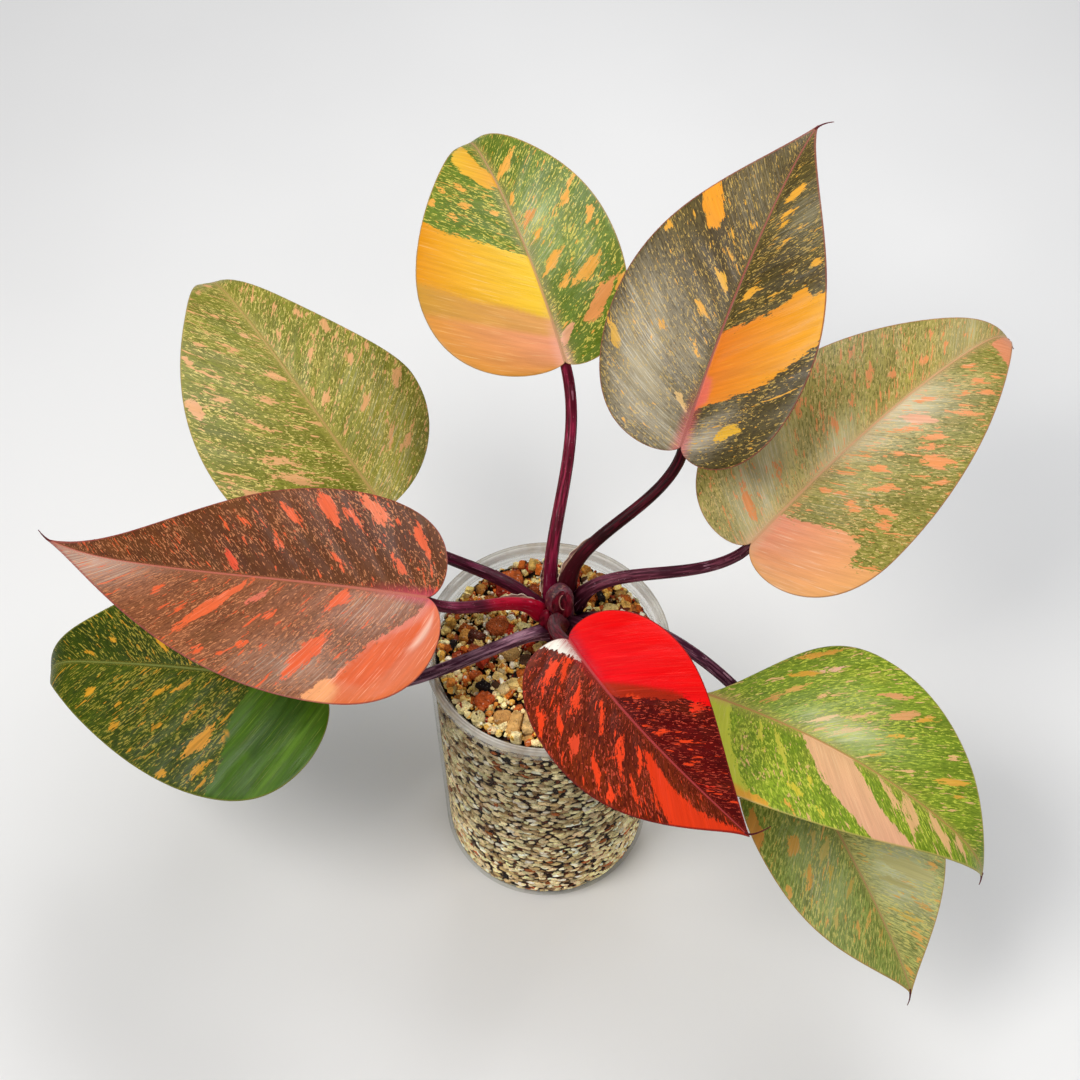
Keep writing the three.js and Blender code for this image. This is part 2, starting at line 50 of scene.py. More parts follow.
# ---- dimensions shared with the CAD model
WALL = 1.4
FLOOR = 1.6
FOOT_ROUND = 9
POT_BASE_RADIUS = 48
POT_NECK_RADIUS = 50.2
DRAIN_HOLES = 8
DRAIN_RADIUS = 3
DRAIN_RING = 30
INNER_FOOT = (46.6, 9.2)  # radius and height of the wall's inside, above the foot's round and at the neck
INNER_NECK = (48.8, 146.1)
MIX_TOP = 148.5
MIX_MOUND = 1.6
LEDGE_RADIUS = 47
GRAIN_CELL = 7
GRAIN_RELIEF = 1.5
STEM_X = 5
STEM_Y = 10
STEM_RADIUS = 6.2
STEM_TOP = 181
THICKNESS = 0.7
RIB_DEPTH = 0.9
GAP = 0.3
PETIOLE_BASE = 3.2
PETIOLE_END = 2.3

# Blades and petioles as in the CAD model. left and right: width, lobe, widest, full.
# sheath: azimuth, height, steepness.
LEAVES = [
    dict(base=(7.4, 92.2, 228), heading=109, bow=1.5, pitch=28, roll=-10, droop=46, swing=2, curl=72,
         length=133, tip=0.16, fold=5, sag=3.5, left=(50, 0.03, 0.31, 0.27),
         right=(37.5, 0.04, 0.33, 0.37), sheath=(110, 160, 72), knee=14),
    dict(base=(53.5, 47.8, 228), heading=66, bow=1, pitch=41.5, roll=-9.5, droop=19, swing=-8.5, curl=14,
         length=140.5, tip=0.15, fold=9, sag=2.7, left=(48, 0.05, 0.31, 0.33),
         right=(42, 0.06, 0.32, 0.31), sheath=(70, 171, 70), knee=16),
    dict(base=(84.2, 28.4, 188), heading=40.5, bow=-0.6, pitch=24, roll=10, droop=44, swing=0.5, curl=43,
         length=167, tip=0.24, fold=7.5, sag=4, left=(46, 0.06, 0.22, 0.33),
         right=(47.5, 0.065, 0.21, 0.39), sheath=(30, 165, 66), knee=2),
    dict(base=(63.5, -30.3, 166), heading=-33, bow=0.7, pitch=18, roll=-16.5, droop=50, swing=-6.5,
         curl=52, length=139.5, tip=0.15, fold=3.5, sag=1, left=(57.5, -0.07, 0.36, 0.36),
         right=(49, 0.04, 0.28, 0.27), sheath=(-50, 164, 50), knee=4),
    dict(base=(100.2, -41.4, 140), heading=-59.5, bow=2.3, pitch=-20, roll=-3.5, droop=22, swing=-3.5,
         curl=8, length=113, tip=0.19, fold=14.5, sag=1.8, left=(45, 0.1, 0.29, 0.36),
         right=(39.5, 0.1, 0.27, 0.41), sheath=(-10, 158, 42), knee=6),
    dict(base=(7.75, -42, 226), heading=-57, bow=2, pitch=-11.5, roll=2.5, droop=11.5, swing=20.5,
         curl=4.5, length=98.5, tip=0.21, fold=12.5, sag=3.5, left=(33.5, 0.06, 0.27, 0.27),
         right=(34.5, 0.05, 0.36, 0.33), sheath=(-90, 169, 68), knee=42),
    dict(base=(-47.6, -9.4, 205), heading=173.5, bow=6.5, pitch=5.5, roll=-4, droop=11.5, swing=-12,
         curl=-28, length=154, tip=0.09, fold=5.5, sag=3, left=(52.5, 0.07, 0.21, 0.36),
         right=(44, 0.06, 0.23, 0.32), sheath=(190, 167, 60), knee=26),
    dict(base=(-68.8, 52.8, 178), heading=134.5, bow=-1.8, pitch=34, roll=16, droop=44, swing=-8.5,
         curl=72, length=145.5, tip=0.13, fold=2.5, sag=3.5, left=(59.5, 0.03, 0.27, 0.34),
         right=(54, 0.005, 0.3, 0.18), sheath=(150, 159, 52), knee=4),
    dict(base=(-95, -16.5, 148), heading=165, bow=2, pitch=-6, roll=-17, droop=13, swing=3.5, curl=105,
         length=142, tip=0.2, fold=3.5, sag=4, left=(53.5, 0.08, 0.24, 0.34),
         right=(46.5, 0.1, 0.27, 0.29), sheath=(230, 159, 51), knee=8),
]

# ---- colours of the leaves
# colours: deep grain, flecks, accent, midrib, rim, underside, warm clouds, pale fibres, flush. flecks and
# dashes: the noise level above which they show. left and right: the marks of each half, by vein (where it
# leaves the midrib: 0 at the base, 100 at the tip, below 0 in the lobe) and share (the way from midrib to
# margin, in hundredths too). sheen: a painted highlight, which lightens the base colour and fades the grain,
# with vein, share, radius in mm, colour, strength in hundredths. sector: one or two colours, then corners of
# vein and share. patch: the same with mm along the midrib and off it.
# streaks: vein, first and last share, width in mm and, where it isn't the accent, the colour.
LOOKS = [
    dict(  # yellow green with a gold sector
        slot="leaf_yellow", flecks=0.585, dashes=0.645, glow=0.2,
        colours="4f5e0a d2bf55 d99a3c b0845c a88650 a89a58 848228 f2d99a e0a088",
        left="""base 62751d 566c14
        sector dc8f6c c8842e: -60 0, 12 0, 12 100, -60 100
        sector cf9252 b98526: 7 0, 15 0, 18 40, 17 70, 19 100, 5.5 100, 7 50
        sector e0b62a d08604: 12 0, 36 0, 35.5 80, 39 100, 15.5 100, 13.5 60, 14.5 30
        sector d29426 dcae30: 60 20, 66 0, 72 20, 80 50, 86 75, 78 95, 70 85, 64 60
        streaks 56 50 75 4, 53 80 97 4, 45 90 100 6, 49 45 65 3.5, 50 15 30 3, 42 60 75 3
        streaks 16.5 40 100 2 8c7a26""",
        right="""base 62751d 566c14
        sheen 40 25 14 a4b07c 55, 20 60 10 98a468 40
        streaks 65 10 75 6, 55 5 25 4, 44 10 35 5 cf8a44, 27 10 40 5, 16 35 80 5, 7 45 85 8 d48a48
        streaks 6 85 97 5, 25 75 95 4, 36 60 85 4, 7 5 30 6 cf946a, 38 10 35 3, 20 20 40 3""",
    ),
    dict(  # bronze with an orange sector
        slot="leaf_bronze", flecks=0.6, dashes=0.67, size=0.85,
        colours="2e2002 c4a04c dc9c2c 9c4c44 8a4a3c 7a6a3a 4a3410 f0ba48 c8505a",
        left="""base 584a20 483818
        sheen 10 62 18 b8aa88 75, 22 20 12 a09070 30, 66 50 14 8c7e5c 30
        sector e2921c: 50 55, 53 60, 54.5 80, 56 100, 50 100, 47 85, 45.5 65
        streaks 43 8 32 4.5 dca22c, 33 16 35 3.5, 35 90 100 4, 62 12 28 3, 10 8 24 4 cfa868
        streaks 7 82 97 5 d0a040, 24 10 22 3, 50 20 34 2.5, 20 45 60 2.5""",
        right="""base 564a1e 483c16
        sheen 2 35 8 bcb09c 60, 60 85 12 8c8468 40
        sector da741c e09a08: 10 0, 34 0, 34 50, 36 65, 37 80, 33 86, 32 100, 23 100, 17 85, 13 60, 12 30
        sector dc6a50: 8 0, 27 0, 20 10, 12 16
        streaks 3 45 65 6 dca82c, 72 30 80 6, 66 30 65 3.5, 62 30 50 3, 43 10 30 4.5, 42 82 97 4
        streaks 55 40 55 2.5""",
    ),
    dict(  # olive with salmon streaks
        slot="leaf_bronze", flecks=0.58, dashes=0.625, size=0.9, glow=0.35, fibres=0.5,
        colours="4e4c0a cdb06c dc8c50 cc966a a87850 8a7a44 9c8640 f4d0b0 d8a880",
        left="""base a89a48 9a8e3e
        sheen 8 40 16 bcb08c 70, 30 8 12 cabe94 60, 75 60 14 b4a878 50
        streaks 22 50 72 3, 37 70 92 3, 42 35 65 4, 37 30 48 3, 46 80 100 3, 31 15 35 3, 4 20 60 4
        streaks 55 40 60 2.5, 62 60 85 3, 68 30 60 3, 13 20 40 2.5, 50 30 45 4, 60 25 45 5, 74 40 70 3
        streaks 27 75 90 2.5""",
        right="""base 8c863a 7e7a30
        sheen 50 12 16 ccc09c 70, 35 10 12 c2b48c 50, 20 30 14 a89c64 40
        sector e08a6c e0a060: -60 0, 10 0, 10 50, 8 70, 2 80, 2 100, -60 100
        sector dea458: -60 30, -8 30, -10 100, -60 100
        sector d8885c: 84 20, 80 60, 74 90, 66 100, 100 100, 100 20
        streaks 23 42 62 4, 16.5 36 50 4, 13 66 80 4, 37 50 70 3.5, 31 62 85 3.5, 42 20 42 3, 50 50 95 4
        streaks 57 50 62 4, 63 50 85 4, 20 10 30 3, 34 30 50 2.5, 28 25 45 4, 46 15 50 6 dca07c
        streaks 54 10 35 4, 26 80 95 3, 33 55 95 4.5, 40 45 70 4, 58 70 95 4.5, 70 20 50 4, 17 55 75 3.5
        streaks 66 75 95 3""",
    ),
    dict(  # lime green with peach stripes
        slot="leaf_green", flecks=0.585, dashes=0.635, glow=0.4,
        colours="4c6208 bcc244 d6a870 b07c46 a89850 8f9a4a a09c34 ecd8a4 b89454",
        left="""base 70861a 7c9022
        sheen 34 22 13 c4c890 65, 24 55 9 a8ac60 30
        streaks -2 75 98 4 cf963a, 2 55 70 3, 9 50 64 4 c8942e, 10 62 75 3 d8a888, 24 66 88 4 cf945c
        streaks 30 30 55 2.5, 59 50 95 5 cf9a36, 40 40 62 2.5 cfa03c, 50 75 95 3, 66 60 80 3 cf9a36
        streaks 14 10 30 3 bb8a44, 20 35 50 2.5, 34 75 95 3 cf9a36, 47 15 30 2.5 cfa03c, 4 80 95 4 cf963a
        streaks 13 25 50 3 c89a4c, 32 55 85 4.5 cf945c, 28 10 35 3 d8b888, 36 10 40 3 d8b888
        streaks 55 15 45 2.5""",
        right="""base 748c18 82981f
        sector b4b836: -60 0, 9 0, 10 40, 11.5 70, 14 100, -60 100
        sector cf962c: -60 85, 10 88, 16 93, 20 100, -60 100
        sector d8a878 d8a07c: 31 0, 47 0, 50 30, 52 60, 57 85, 62 100, 48 100, 40 80, 35 50, 33 25
        streaks 57 0 50 4, 64 2 70 6, 73 5 95 7, 60 30 90 3, 82 10 95 5, 25 62 78 4 c8b834
        streaks 24 10 50 3 b8b43a, 19 10 40 2.5 b8b43a, 30 45 65 2.5 c8b834, 22 85 97 3 cf9a36
        streaks 30 80 95 2.5 c8b834""",
    ),
    # The wide pale streak at vein 42 on its left half, c4bc7c, is a painted highlight.
    dict(  # green, half hidden, with pale stripes
        slot="leaf_bronze", flecks=0.57, dashes=0.64, glow=0.3,
        colours="5a621e d4c86c e0a850 bd8c5c b08c50 8a7a4a 848044 e8dc9c b09858",
        left="""base b2b266 a2a656
        sheen 45 50 16 d4d4ac 65
        streaks 42 30 95 8 c4bc7c, 70 60 95 4, 80 80 100 4, 38 80 95 3, 50 20 70 4 b8b070
        streaks 30 30 80 4 d0c070, 62 30 90 3 d0b050, 88 20 90 4, 55 60 90 3 d0a050""",
        right="""base 98a84a 8a9a40
        sheen 30 50 18 a8b080 50
        sector dc9848: -2 85, 6 85, 6 100, -2 100
        streaks 17 50 70 6, 20 90 100 4, 24 25 42 3 c8b060, 26 55 75 4, 30 15 45 4 cdb868
        streaks 47 15 42 3 c8aa50, 60 20 50 2.5, 36 30 50 2.5 d0b040, 55 50 75 2.5, 42 60 90 3 c8b060
        streaks 70 10 60 2.5 c8a048""",
    ),
    dict(  # red over maroon, with a cream wedge
        slot="leaf_red", flecks=0.61, dashes=0.655, size=0.8, gloss=0.4,
        colours="380200 c84a34 da3c16 a83c3c 6a1a16 8a2a24 5c2006 f04a38 980c24",
        left="""base 5a0402 4c0200
        sector a02408 8c1804: 10 0, 25 0, 30 35, 31 55, 30 72, 20 50
        sector da0612 dc0604: -60 0, 19 0, 25 35, 28 60, 32 80, 35 100, -60 100
        streaks 35 68 92 3.5 dc3018, 27 10 30 2.5, 45 10 30 2.5, 72 10 40 2.5 cc301c, 50 30 60 2
        streaks 60 15 40 2""",
        right="""base 6c2406 5e1a04
        sector d23410: 45 15, 51 20, 58 40, 70 60, 85 65, 100 50, 100 100, 56 100, 50 75, 47 40
        patch dedacc: -12 -2, 8.5 -2, 9.5 1, 5 4, 0 8.5, -2.5 12, -12 13
        streaks 35 25 65 3.4, 17 60 85 3.4 d44426, 13 25 55 3, 2 35 75 3.2, 6 20 50 3, -6 45 80 3
        streaks 5 80 97 3.6, 43 20 50 2.6, 25 15 40 2.2, 25 65 90 3, 30 80 98 3, 10 60 80 2.4
        streaks 40 60 90 2.6""",
    ),
    # The pale sector dcae98 on the lobe of its left half is a painted highlight.
    dict(  # maroon with coral streaks
        slot="leaf_maroon", flecks=0.595, dashes=0.645, size=0.85, fibres=0.55, gloss=0.7, grain=0.5,
        colours="4a1e06 c47c50 d2562a b4604e 8a4038 7a4038 5c3c18 f4b494 c04054",
        left="""base 865032 764426
        sheen 85 30 18 b89484 70, 15 75 14 b08c78 40, 10 20 12 a87460 50
        sector cc7466 cc6434: -60 0, -5 0, 0 35, 5 50, 6 100, -60 100
        sector cc5420: -2 42, 5 50, 5.5 80, -2 90, -6 60
        sector dc9460: 2 87, 7 76, 8 100, -1 100
        sector dcae98: -7.5 30, -3.5 36, -3 70, -6 75
        streaks 14.5 40 90 7, 44 3 95 6 d25c30, 38 12 35 4 c8644a, 30 30 45 3, 35 82 97 4, 55 10 25 3
        streaks 60 30 60 3, 20 2 25 6, 50 50 70 2.5, 28 60 75 3""",
        right="""base 623616 522a10
        streaks 14.5 60 100 6, 5 70 100 6 d66a40, 5 28 45 4, 10 60 85 3, 24 60 88 4, 47 5 40 4 d24a2c
        streaks 32 30 50 3, -3 65 88 4, 37 60 80 3, 20 15 35 3""",
    ),
    dict(  # green with peach marks near the margin
        slot="leaf_green", flecks=0.59, dashes=0.62, size=0.9, glow=0.45,
        colours="525004 dcc46e d49c64 b08c50 98884c 8f8a44 988a38 ecd09c b09a50",
        left="""base 82802a 727420
        streaks 25 86 100 9 d29a68, 75 75 95 4, 65 50 70 3, 40 86 100 4, 52 40 60 4, 45 5 28 4
        streaks 25 42 60 3, 15 35 65 3, 10 35 65 4, 85 40 80 5, 30 60 80 3, 48 75 95 3, 35 25 45 3
        streaks 60 15 35 3, 5 70 95 4""",
        right="""base 82802a 727420
        sheen 10 50 22 a09440 50
        streaks 40 78 97 6, 48 82 97 3, 42 30 50 3.5, 12 76 95 5, 33 10 25 4, 20 36 54 4, 60 55 85 3
        streaks 52 72 95 4, 56 20 40 3, 70 40 75 3, 28 60 80 3, 8 40 60 3, 24 85 98 3, 3 60 80 3""",
    ),
    dict(  # dark green with amber marks
        slot="leaf_dark_green", flecks=0.585, dashes=0.65, gloss=0.6, mottle=0.16,
        colours="1a2600 a89838 c88e20 78803c 7c7a38 5f6a34 4c500a a8b050 6c8038",
        left="""base 404e06 4a580a
        sector 44660a 40640a: -60 0, 22 0, 16 40, 8 78, 5 100, -60 100
        sector 52761a: -25 30, -12 35, -10 90, -20 100, -30 80
        sector 34540a: 2 10, 10 10, 7 60, 1 75, -2 40
        sector 567a20: -6 55, -2 60, -3 100, -8 100
        streaks 19 45 78 6 cf9030, 8 45 65 4, 12 70 92 4, 42 20 38 4, 38 10 28 4, 62 50 70 5, 43 72 88 4
        streaks 20 90 100 4, 13 40 58 3, 27 30 50 2.5, 50 50 62 3, 33 50 66 2.5""",
        right="""base 364404 3e4c08
        streaks 72 20 42 4, 60 40 62 3, 45 20 45 4""",
    ),
]

# Petioles: dark, light and blush colour, the stretch from the stem that the blush lies on, and pale crust
STALKS = [
    ("4c0618 8c1e3c 6a0c2c", 0, 20, 0.35),
    ("240206 50081a 38040c", 0, 20, 0.12),
    ("3a101e 7a3c4c 2c0410", 0, 12, 0.7),
    ("40162a 84505f 2c0410", 0, 10, 0.75),
    ("3c1226 784456 2c0410", 0, 10, 0.7),
    ("320410 6a0c20 40040f", 0, 14, 0.15),
    ("440a1c 7c2a44 b40426", 4, 32, 0.45),
    ("380616 681838 380614", 0, 14, 0.4),
    ("442032 98707f 300614", 0, 8, 0.95),
]
TIP_THREADS = {2: -5, 3: -2.5, 4: -1.5, 5: -3, 6: 9, 7: -2}  # leaf number and the thread's bend in mm


# ---- meshes
def read(text):
    """The entries of a list such as "1 2 a0b0c0, 3 4", as lists of numbers and six-figure colours."""
    return [[word if len(word) == 6 else float(word) for word in entry.split()]
            for entry in text.split(",") if entry]


def linear(colour):
    """An sRGB hex colour as linear red, green and blue."""
    parts = np.array([int(colour[i:i + 2], 16) for i in (0, 2, 4)]) / 255
    return np.where(parts <= 0.04045, parts / 12.92, ((parts + 0.055) / 1.055) ** 2.4)


def blend(low, high, share):
    return low + (high - low) * share


def smooth_step(low, high, value):
    share = np.clip((value - low) / (high - low), 0, 1)
    return share * share * (3 - 2 * share)


def mesh_object(name, shape, material, flat=False, **fields):
    """An object at the origin. shape: points and arrays of triangles or quads. fields: values per point."""
    points, faces = shape
    corners = np.concatenate([np.ravel(block) for block in faces]).astype(np.int32)
    sizes = np.concatenate([np.full(len(block), block.shape[1]) for block in faces])
    mesh = bpy.data.meshes.new(name)
    mesh.vertices.add(len(points))
    mesh.vertices.foreach_set("co", (points * MM).ravel())
    mesh.loops.add(len(corners))
    mesh.loops.foreach_set("vertex_index", corners)
    mesh.polygons.add(len(sizes))
    mesh.polygons.foreach_set("loop_start", (np.cumsum(sizes) - sizes).astype(np.int32))
    mesh.update(calc_edges=True)
    mesh.polygons.foreach_set("use_smooth", np.full(len(sizes), not flat))
    for field, values in fields.items():
        kind, key = ("FLOAT", "value") if values.ndim == 1 else ("FLOAT_VECTOR", "vector")
        if field in ("shade", "tint"):
            kind, key = "FLOAT_COLOR", "color"
            values = np.concatenate([values, np.ones((len(values), 1))], 1)
        mesh.attributes.new(field, kind, "POINT").data.foreach_set(key, values.ravel())
    mesh.materials.append(material)
    made = bpy.data.objects.new(name, mesh)
    scene.collection.objects.link(made)
    return made


def belongs(made, slot, *nodes):
    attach(made, "root")
    if nodes:
        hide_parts(*nodes)


def piece(name, slot, shape, material, *nodes, **options):
    """A mesh object on the one body, in the place of CAD nodes. Its slot is not used."""
    made = mesh_object(name, shape, material, **options)
    belongs(made, slot, *nodes)
    return made


@contextmanager
def edited(mesh):
    """A mesh as a bmesh, which is written back at the end."""
    work = bmesh.new()
    work.from_mesh(mesh)
    yield work
    work.to_mesh(mesh)
    work.free()


def loop_faces(rings, sides):
    """Quads between successive closed rings of points."""
    ring, side = np.meshgrid(np.arange(rings - 1), np.arange(sides), indexing="ij")
    here, beside = ring * sides + side, ring * sides + (side + 1) % sides
    return np.stack([here, beside, beside + sides, here + sides], -1).reshape(-1, 4)


def capped(rings, first, last):
    """The closed shape of rings of points (step, side, axis), with a point at each end."""
    steps, sides = rings.shape[:2]
    count = steps * sides
    ring = np.arange(sides)
    after = np.roll(ring, -1)
    top = count - sides
    faces = [loop_faces(steps, sides), np.stack([np.full(sides, count), after, ring], -1),
             np.stack([np.full(sides, count + 1), ring + top, after + top], -1)]
    return np.concatenate([rings.reshape(-1, 3), [first, last]]), faces


def unit(vectors):
    return vectors / np.linalg.norm(vectors, axis=-1, keepdims=True)


def direction(heading, pitch):
    heading, pitch = np.radians(heading), np.radians(pitch)
    level = np.cos(pitch)
    return np.stack([level * np.cos(heading), level * np.sin(heading), np.sin(pitch) + 0 * heading], -1)


def turns(angles, axis):
    """Turning matrices about X (0) or Z (2)."""
    a, b = (i for i in range(3) if i != axis)
    made = np.zeros((len(angles), 3, 3))
    made[:, axis, axis] = 1
    made[:, a, a] = made[:, b, b] = np.cos(angles)
    made[:, b, a] = np.sin(angles)
    made[:, a, b] = -made[:, b, a]
    return made


def bezier(t, points):
    u = 1 - t
    shares = np.stack([u ** 3, 3 * u * u * t, 3 * u * t * t, t ** 3], -1)
    return shares @ np.array(points, float)


def path_length(path):
    """The way along a path to each of its points."""
    return np.concatenate([[0], np.cumsum(np.linalg.norm(np.diff(path, axis=0), axis=1))])


def wave_noise(points, seed, octaves=4):
    """A smooth repeatable field between about -1 and 1, made of crossed sine waves."""
    draw = np.random.default_rng(seed)
    total = np.zeros(points.shape[:-1])
    for octave in range(octaves):
        for _ in range(3):
            way = unit(draw.normal(size=3)) * 1.9 ** octave
            total += np.sin(points @ way + draw.uniform(0, 6.3)) / 1.7 ** octave
    return total / 4


def icosphere(level):
    work = bmesh.new()
    bmesh.ops.create_icosphere(work, subdivisions=level, radius=1)
    points = np.array([corner.co[:] for corner in work.verts])
    faces = np.array([[corner.index for corner in face.verts] for face in work.faces])
    work.free()
    return points, faces


# ---- materials
class Graph:
    """A material's nodes, and the colour built up so far. The methods down to bright() return output
    sockets. Hex colours and sockets may stand for a colour."""

    def __init__(self, name):
        self.material = bpy.data.materials.new(name)
        self.material.use_nodes = True
        self.tree = self.material.node_tree
        self.shader = self.tree.nodes["Principled BSDF"]
        self.colour = None

    def put(self, socket, value):
        if isinstance(value, bpy.types.NodeSocket):
            self.tree.links.new(value, socket)
        else:
            socket.default_value = (*linear(value), 1) if isinstance(value, str) else value

    def node(self, kind, output, inputs=(), **settings):
        made = self.tree.nodes.new("ShaderNode" + kind)
        for key, value in settings.items():
            setattr(made, key, value)
        for key, value in dict(inputs).items():
            self.put(made.inputs[key], value)
        return made.outputs[output]

    def field(self, name, output="Vector"):
        return self.node("Attribute", output, attribute_name=name)

    def place(self):
        return self.node("TexCoord", "Object")

    def parts(self, vector):
        return self.node("SeparateXYZ", slice(None), {0: vector})

    def scaled(self, vector, by):
        return self.node("VectorMath", 0, {0: vector, 1: by}, operation="MULTIPLY")

    def math(self, operation, a, b=0.0, clamp=False):
        return self.node("Math", 0, {0: a, 1: b}, operation=operation, use_clamp=clamp)

    def times(self, a, b):
        return self.math("MULTIPLY", a, b)

    def plus(self, a, b, clamp=False):
        return self.math("ADD", a, b, clamp)

    def ramp(self, value, low, high, start=0.0, end=1.0):
        inputs = {"Value": value, "From Min": low, "From Max": high, "To Min": start, "To Max": end}
        return self.node("MapRange", "Result", inputs, interpolation_type="SMOOTHSTEP")

    def noise(self, vector, stretch=None, detail=2.0, roughness=0.5, distortion=0.0, scale=1.0):
        if stretch:
            vector = self.scaled(vector, stretch)
        inputs = dict(Vector=vector, Scale=scale, Detail=detail, Roughness=roughness, Distortion=distortion)
        return self.node("TexNoise", "Fac", inputs)

    def cells(self, vector, scale, output="Distance"):
        return self.node("TexVoronoi", output, dict(Vector=vector, Scale=scale))

    def mix(self, factor, a, b, blend_type="MIX"):
        return self.node("Mix", 2, {0: factor, 6: a, 7: b}, data_type="RGBA", blend_type=blend_type)

    def bright(self, colour, value, *levels):
        """A colour times a grey ramp of a value."""
        grey = self.ramp(value, *levels)
        return self.mix(1.0, colour, self.node("CombineColor", 0, {0: grey, 1: grey, 2: grey}), "MULTIPLY")

    def lay(self, tone, factor, *levels):
        """Lays a tone over the colour, by a factor or by the ramp of a value."""
        self.colour = self.mix(self.ramp(factor, *levels) if levels else factor, self.colour, tone)

    def bump(self, height, distance, strength):
        inputs = dict(Height=height, Distance=distance * MM, Strength=strength)
        self.put(self.shader.inputs["Normal"], self.node("Bump", "Normal", inputs))

    def finish(self, value, *levels, **constants):
        """The material with the ramp of a value as its roughness."""
        self.put(self.shader.inputs["Base Color"], self.colour)
        self.put(self.shader.inputs["Roughness"], self.ramp(value, *levels))
        for key, constant in constants.items():
            self.shader.inputs[key.replace("_", " ")].default_value = constant
        return self.material


def leaf_material(number, look):
    g = Graph(f"leaf_{number}_look")
    deep, fleck, accent, rib_tone, rim, below, warm, pale, blush = look["colours"].split()
    vein = g.field("vein")  # mm along the vein, mm across it, seed
    from_rib, from_margin, under = g.parts(g.field("zone"))[:3]  # mm, mm, 1 on the underside
    ground, painted_shine = g.field("shade", "Color"), g.field("sheen", "Fac")
    size, gloss, mottle = look.get("size", 1), look.get("gloss", 1), look.get("mottle", 0)

    def veined(along, across, *settings):
        return g.noise(vein, (along, across, 1), *settings)

    # Cloudy lighter and darker areas along the veins, and a fine dark grain
    g.colour = g.bright(ground, veined(0.03, 0.14, 4, 0.6), 0.3, 0.7, 0.8, 1.2)
    g.lay(warm, veined(0.06, 0.1), 0.5, 0.75, 0, 0.45)
    grain = g.ramp(veined(0.38, 1.5, 3, 0.65, 0.4), 0.52, 0.4, 0, look.get("grain", 0.65))
    # The grain fades where a highlight is painted.
    g.lay(deep, g.times(grain, g.ramp(painted_shine, 0.05, 0.55, 1, 0.15)))

    # Short wavy flecks in drifts, long in the direction of the veins, then dashes and longer streaks
    drift = g.ramp(veined(0.05, 0.09), 0.35, 0.65, -0.03, 0.03)
    flecks = g.plus(veined(0.38 / size, 1.5 / size, 2, 0.55, 0.7), drift)
    dashes = g.plus(veined(0.17, 0.8, 3, 0.6, 0.4), drift)
    streaks = veined(0.06, 0.42, 3, 0.6, 0.3)
    for marks, level, strength, tone in (
            (flecks, look["flecks"], 0.95, fleck), (dashes, look["dashes"], 0.92, accent),
            (streaks, look["dashes"] + 0.015, 0.95, accent)):
        g.lay(tone, marks, level, level + 0.015, 0, strength)

    # Sectors and streaks, with ragged edges drawn out along the veins
    cover = g.plus(g.field("cover", "Fac"), g.ramp(veined(0.22, 0.9, 5, 0.68), 0.25, 0.75, -1.3, 1.0))
    blotches = veined(0.04, 0.7, 4, 0.6)
    tint = g.bright(g.field("tint", "Color"), blotches, 0.3, 0.7, 0.9 - mottle, 1.06 + mottle)
    hairs = veined(0.05, 2.4, 3, 0.6)
    g.lay(g.mix(g.ramp(hairs, 0.56, 0.72, 0, look.get("fibres", 0.25)), tint, pale), cover, -0.1, 0.1)
    specks = g.times(g.ramp(flecks, 0.64, 0.67), g.ramp(cover, 3.5, 0.5))
    g.lay(ground, g.times(specks, 0.6))

    # Flush round the foot of the midrib, then the midrib and the thin line of the margin
    flush = g.times(g.ramp(from_rib, 6, 0.3), g.ramp(g.parts(vein)[1], 24, 0))
    glow = g.times(g.ramp(from_rib, 9, 0.3), g.ramp(cover, 1, -1, 0, look.get("glow", 0)))
    g.lay(blush, g.times(g.math("MAXIMUM", flush, glow), g.ramp(hairs, 0.35, 0.6, 0.3, 0.9)))
    rib_noise = veined(1.5, 0.3, 3, 0.6)
    g.lay(rib_tone, g.times(g.ramp(from_rib, 0.4, 0.95, 1, 0), g.ramp(rib_noise, 0.3, 0.6, 0.45, 0.95)))
    g.lay(rim, from_margin, 0.2, 0.55, 0.75, 0)

    # Fine pale streaks of painted highlight within the painted highlight areas, and the paler underside
    painted_shine = g.times(painted_shine, g.ramp(hairs, 0.48, 0.66, 0, 0.7))
    g.lay("dcd6c0", g.times(painted_shine, g.ramp(cover, 1.5, -0.5, 0.35, 1)))
    g.lay(g.mix(0.5, g.colour, below), under)

    g.bump(g.plus(veined(0.1, 2.0, 4, 0.6), g.times(g.cells(g.place(), 1500), 0.2)), 0.2, 0.6)
    return g.finish(veined(0.02, 0.45, 4, 0.6), 0.35, 0.65, 0.3, 0.5, Coat_Weight=0.06 * gloss,
                    Coat_Roughness=0.2, Specular_IOR_Level=0.2 * gloss)


def stalk_material(name, tones, start, end, crust=0.5):
    """Streaked skin with pale crust, and a blush from start to end in mm from the foot."""
    g = Graph(name)
    dark, light, blush = tones.split()
    place = g.field("stalk")  # mm round, mm along, seed
    along = g.parts(place)[1]
    streak = g.noise(place, (0.9, 0.07, 1), 4, 0.6)
    g.colour = g.mix(g.ramp(streak, 0.42, 0.66), dark, light)
    band = g.times(g.ramp(along, start - 4, start + 3), g.ramp(along, end + 8, end - 4))
    g.lay(blush, g.times(band, 0.8))
    pale = g.noise(place, (1.7, 0.1, 1), 3, 0.6)
    g.lay("c08a9c", pale, 0.62, 0.7, 0, crust)
    cracks = g.noise(place, (1.1, 0.16, 1), 5, 0.7)
    g.colour = g.bright(g.colour, cracks, 0.28, 0.5, 0.55, 1.05)
    g.lay("cdb0a8", g.cells(g.scaled(place, (0.9, 0.5, 1)), 0.9), 0.12, 0.05, 0, crust * 0.8)
    g.bump(g.plus(streak, g.times(pale, 0.5)), 0.5, 0.6)
    return g.finish(cracks, 0.3, 0.7, 0.55, 0.38, Coat_Weight=0.04, Coat_Roughness=0.15,
                    Specular_IOR_Level=0.1)


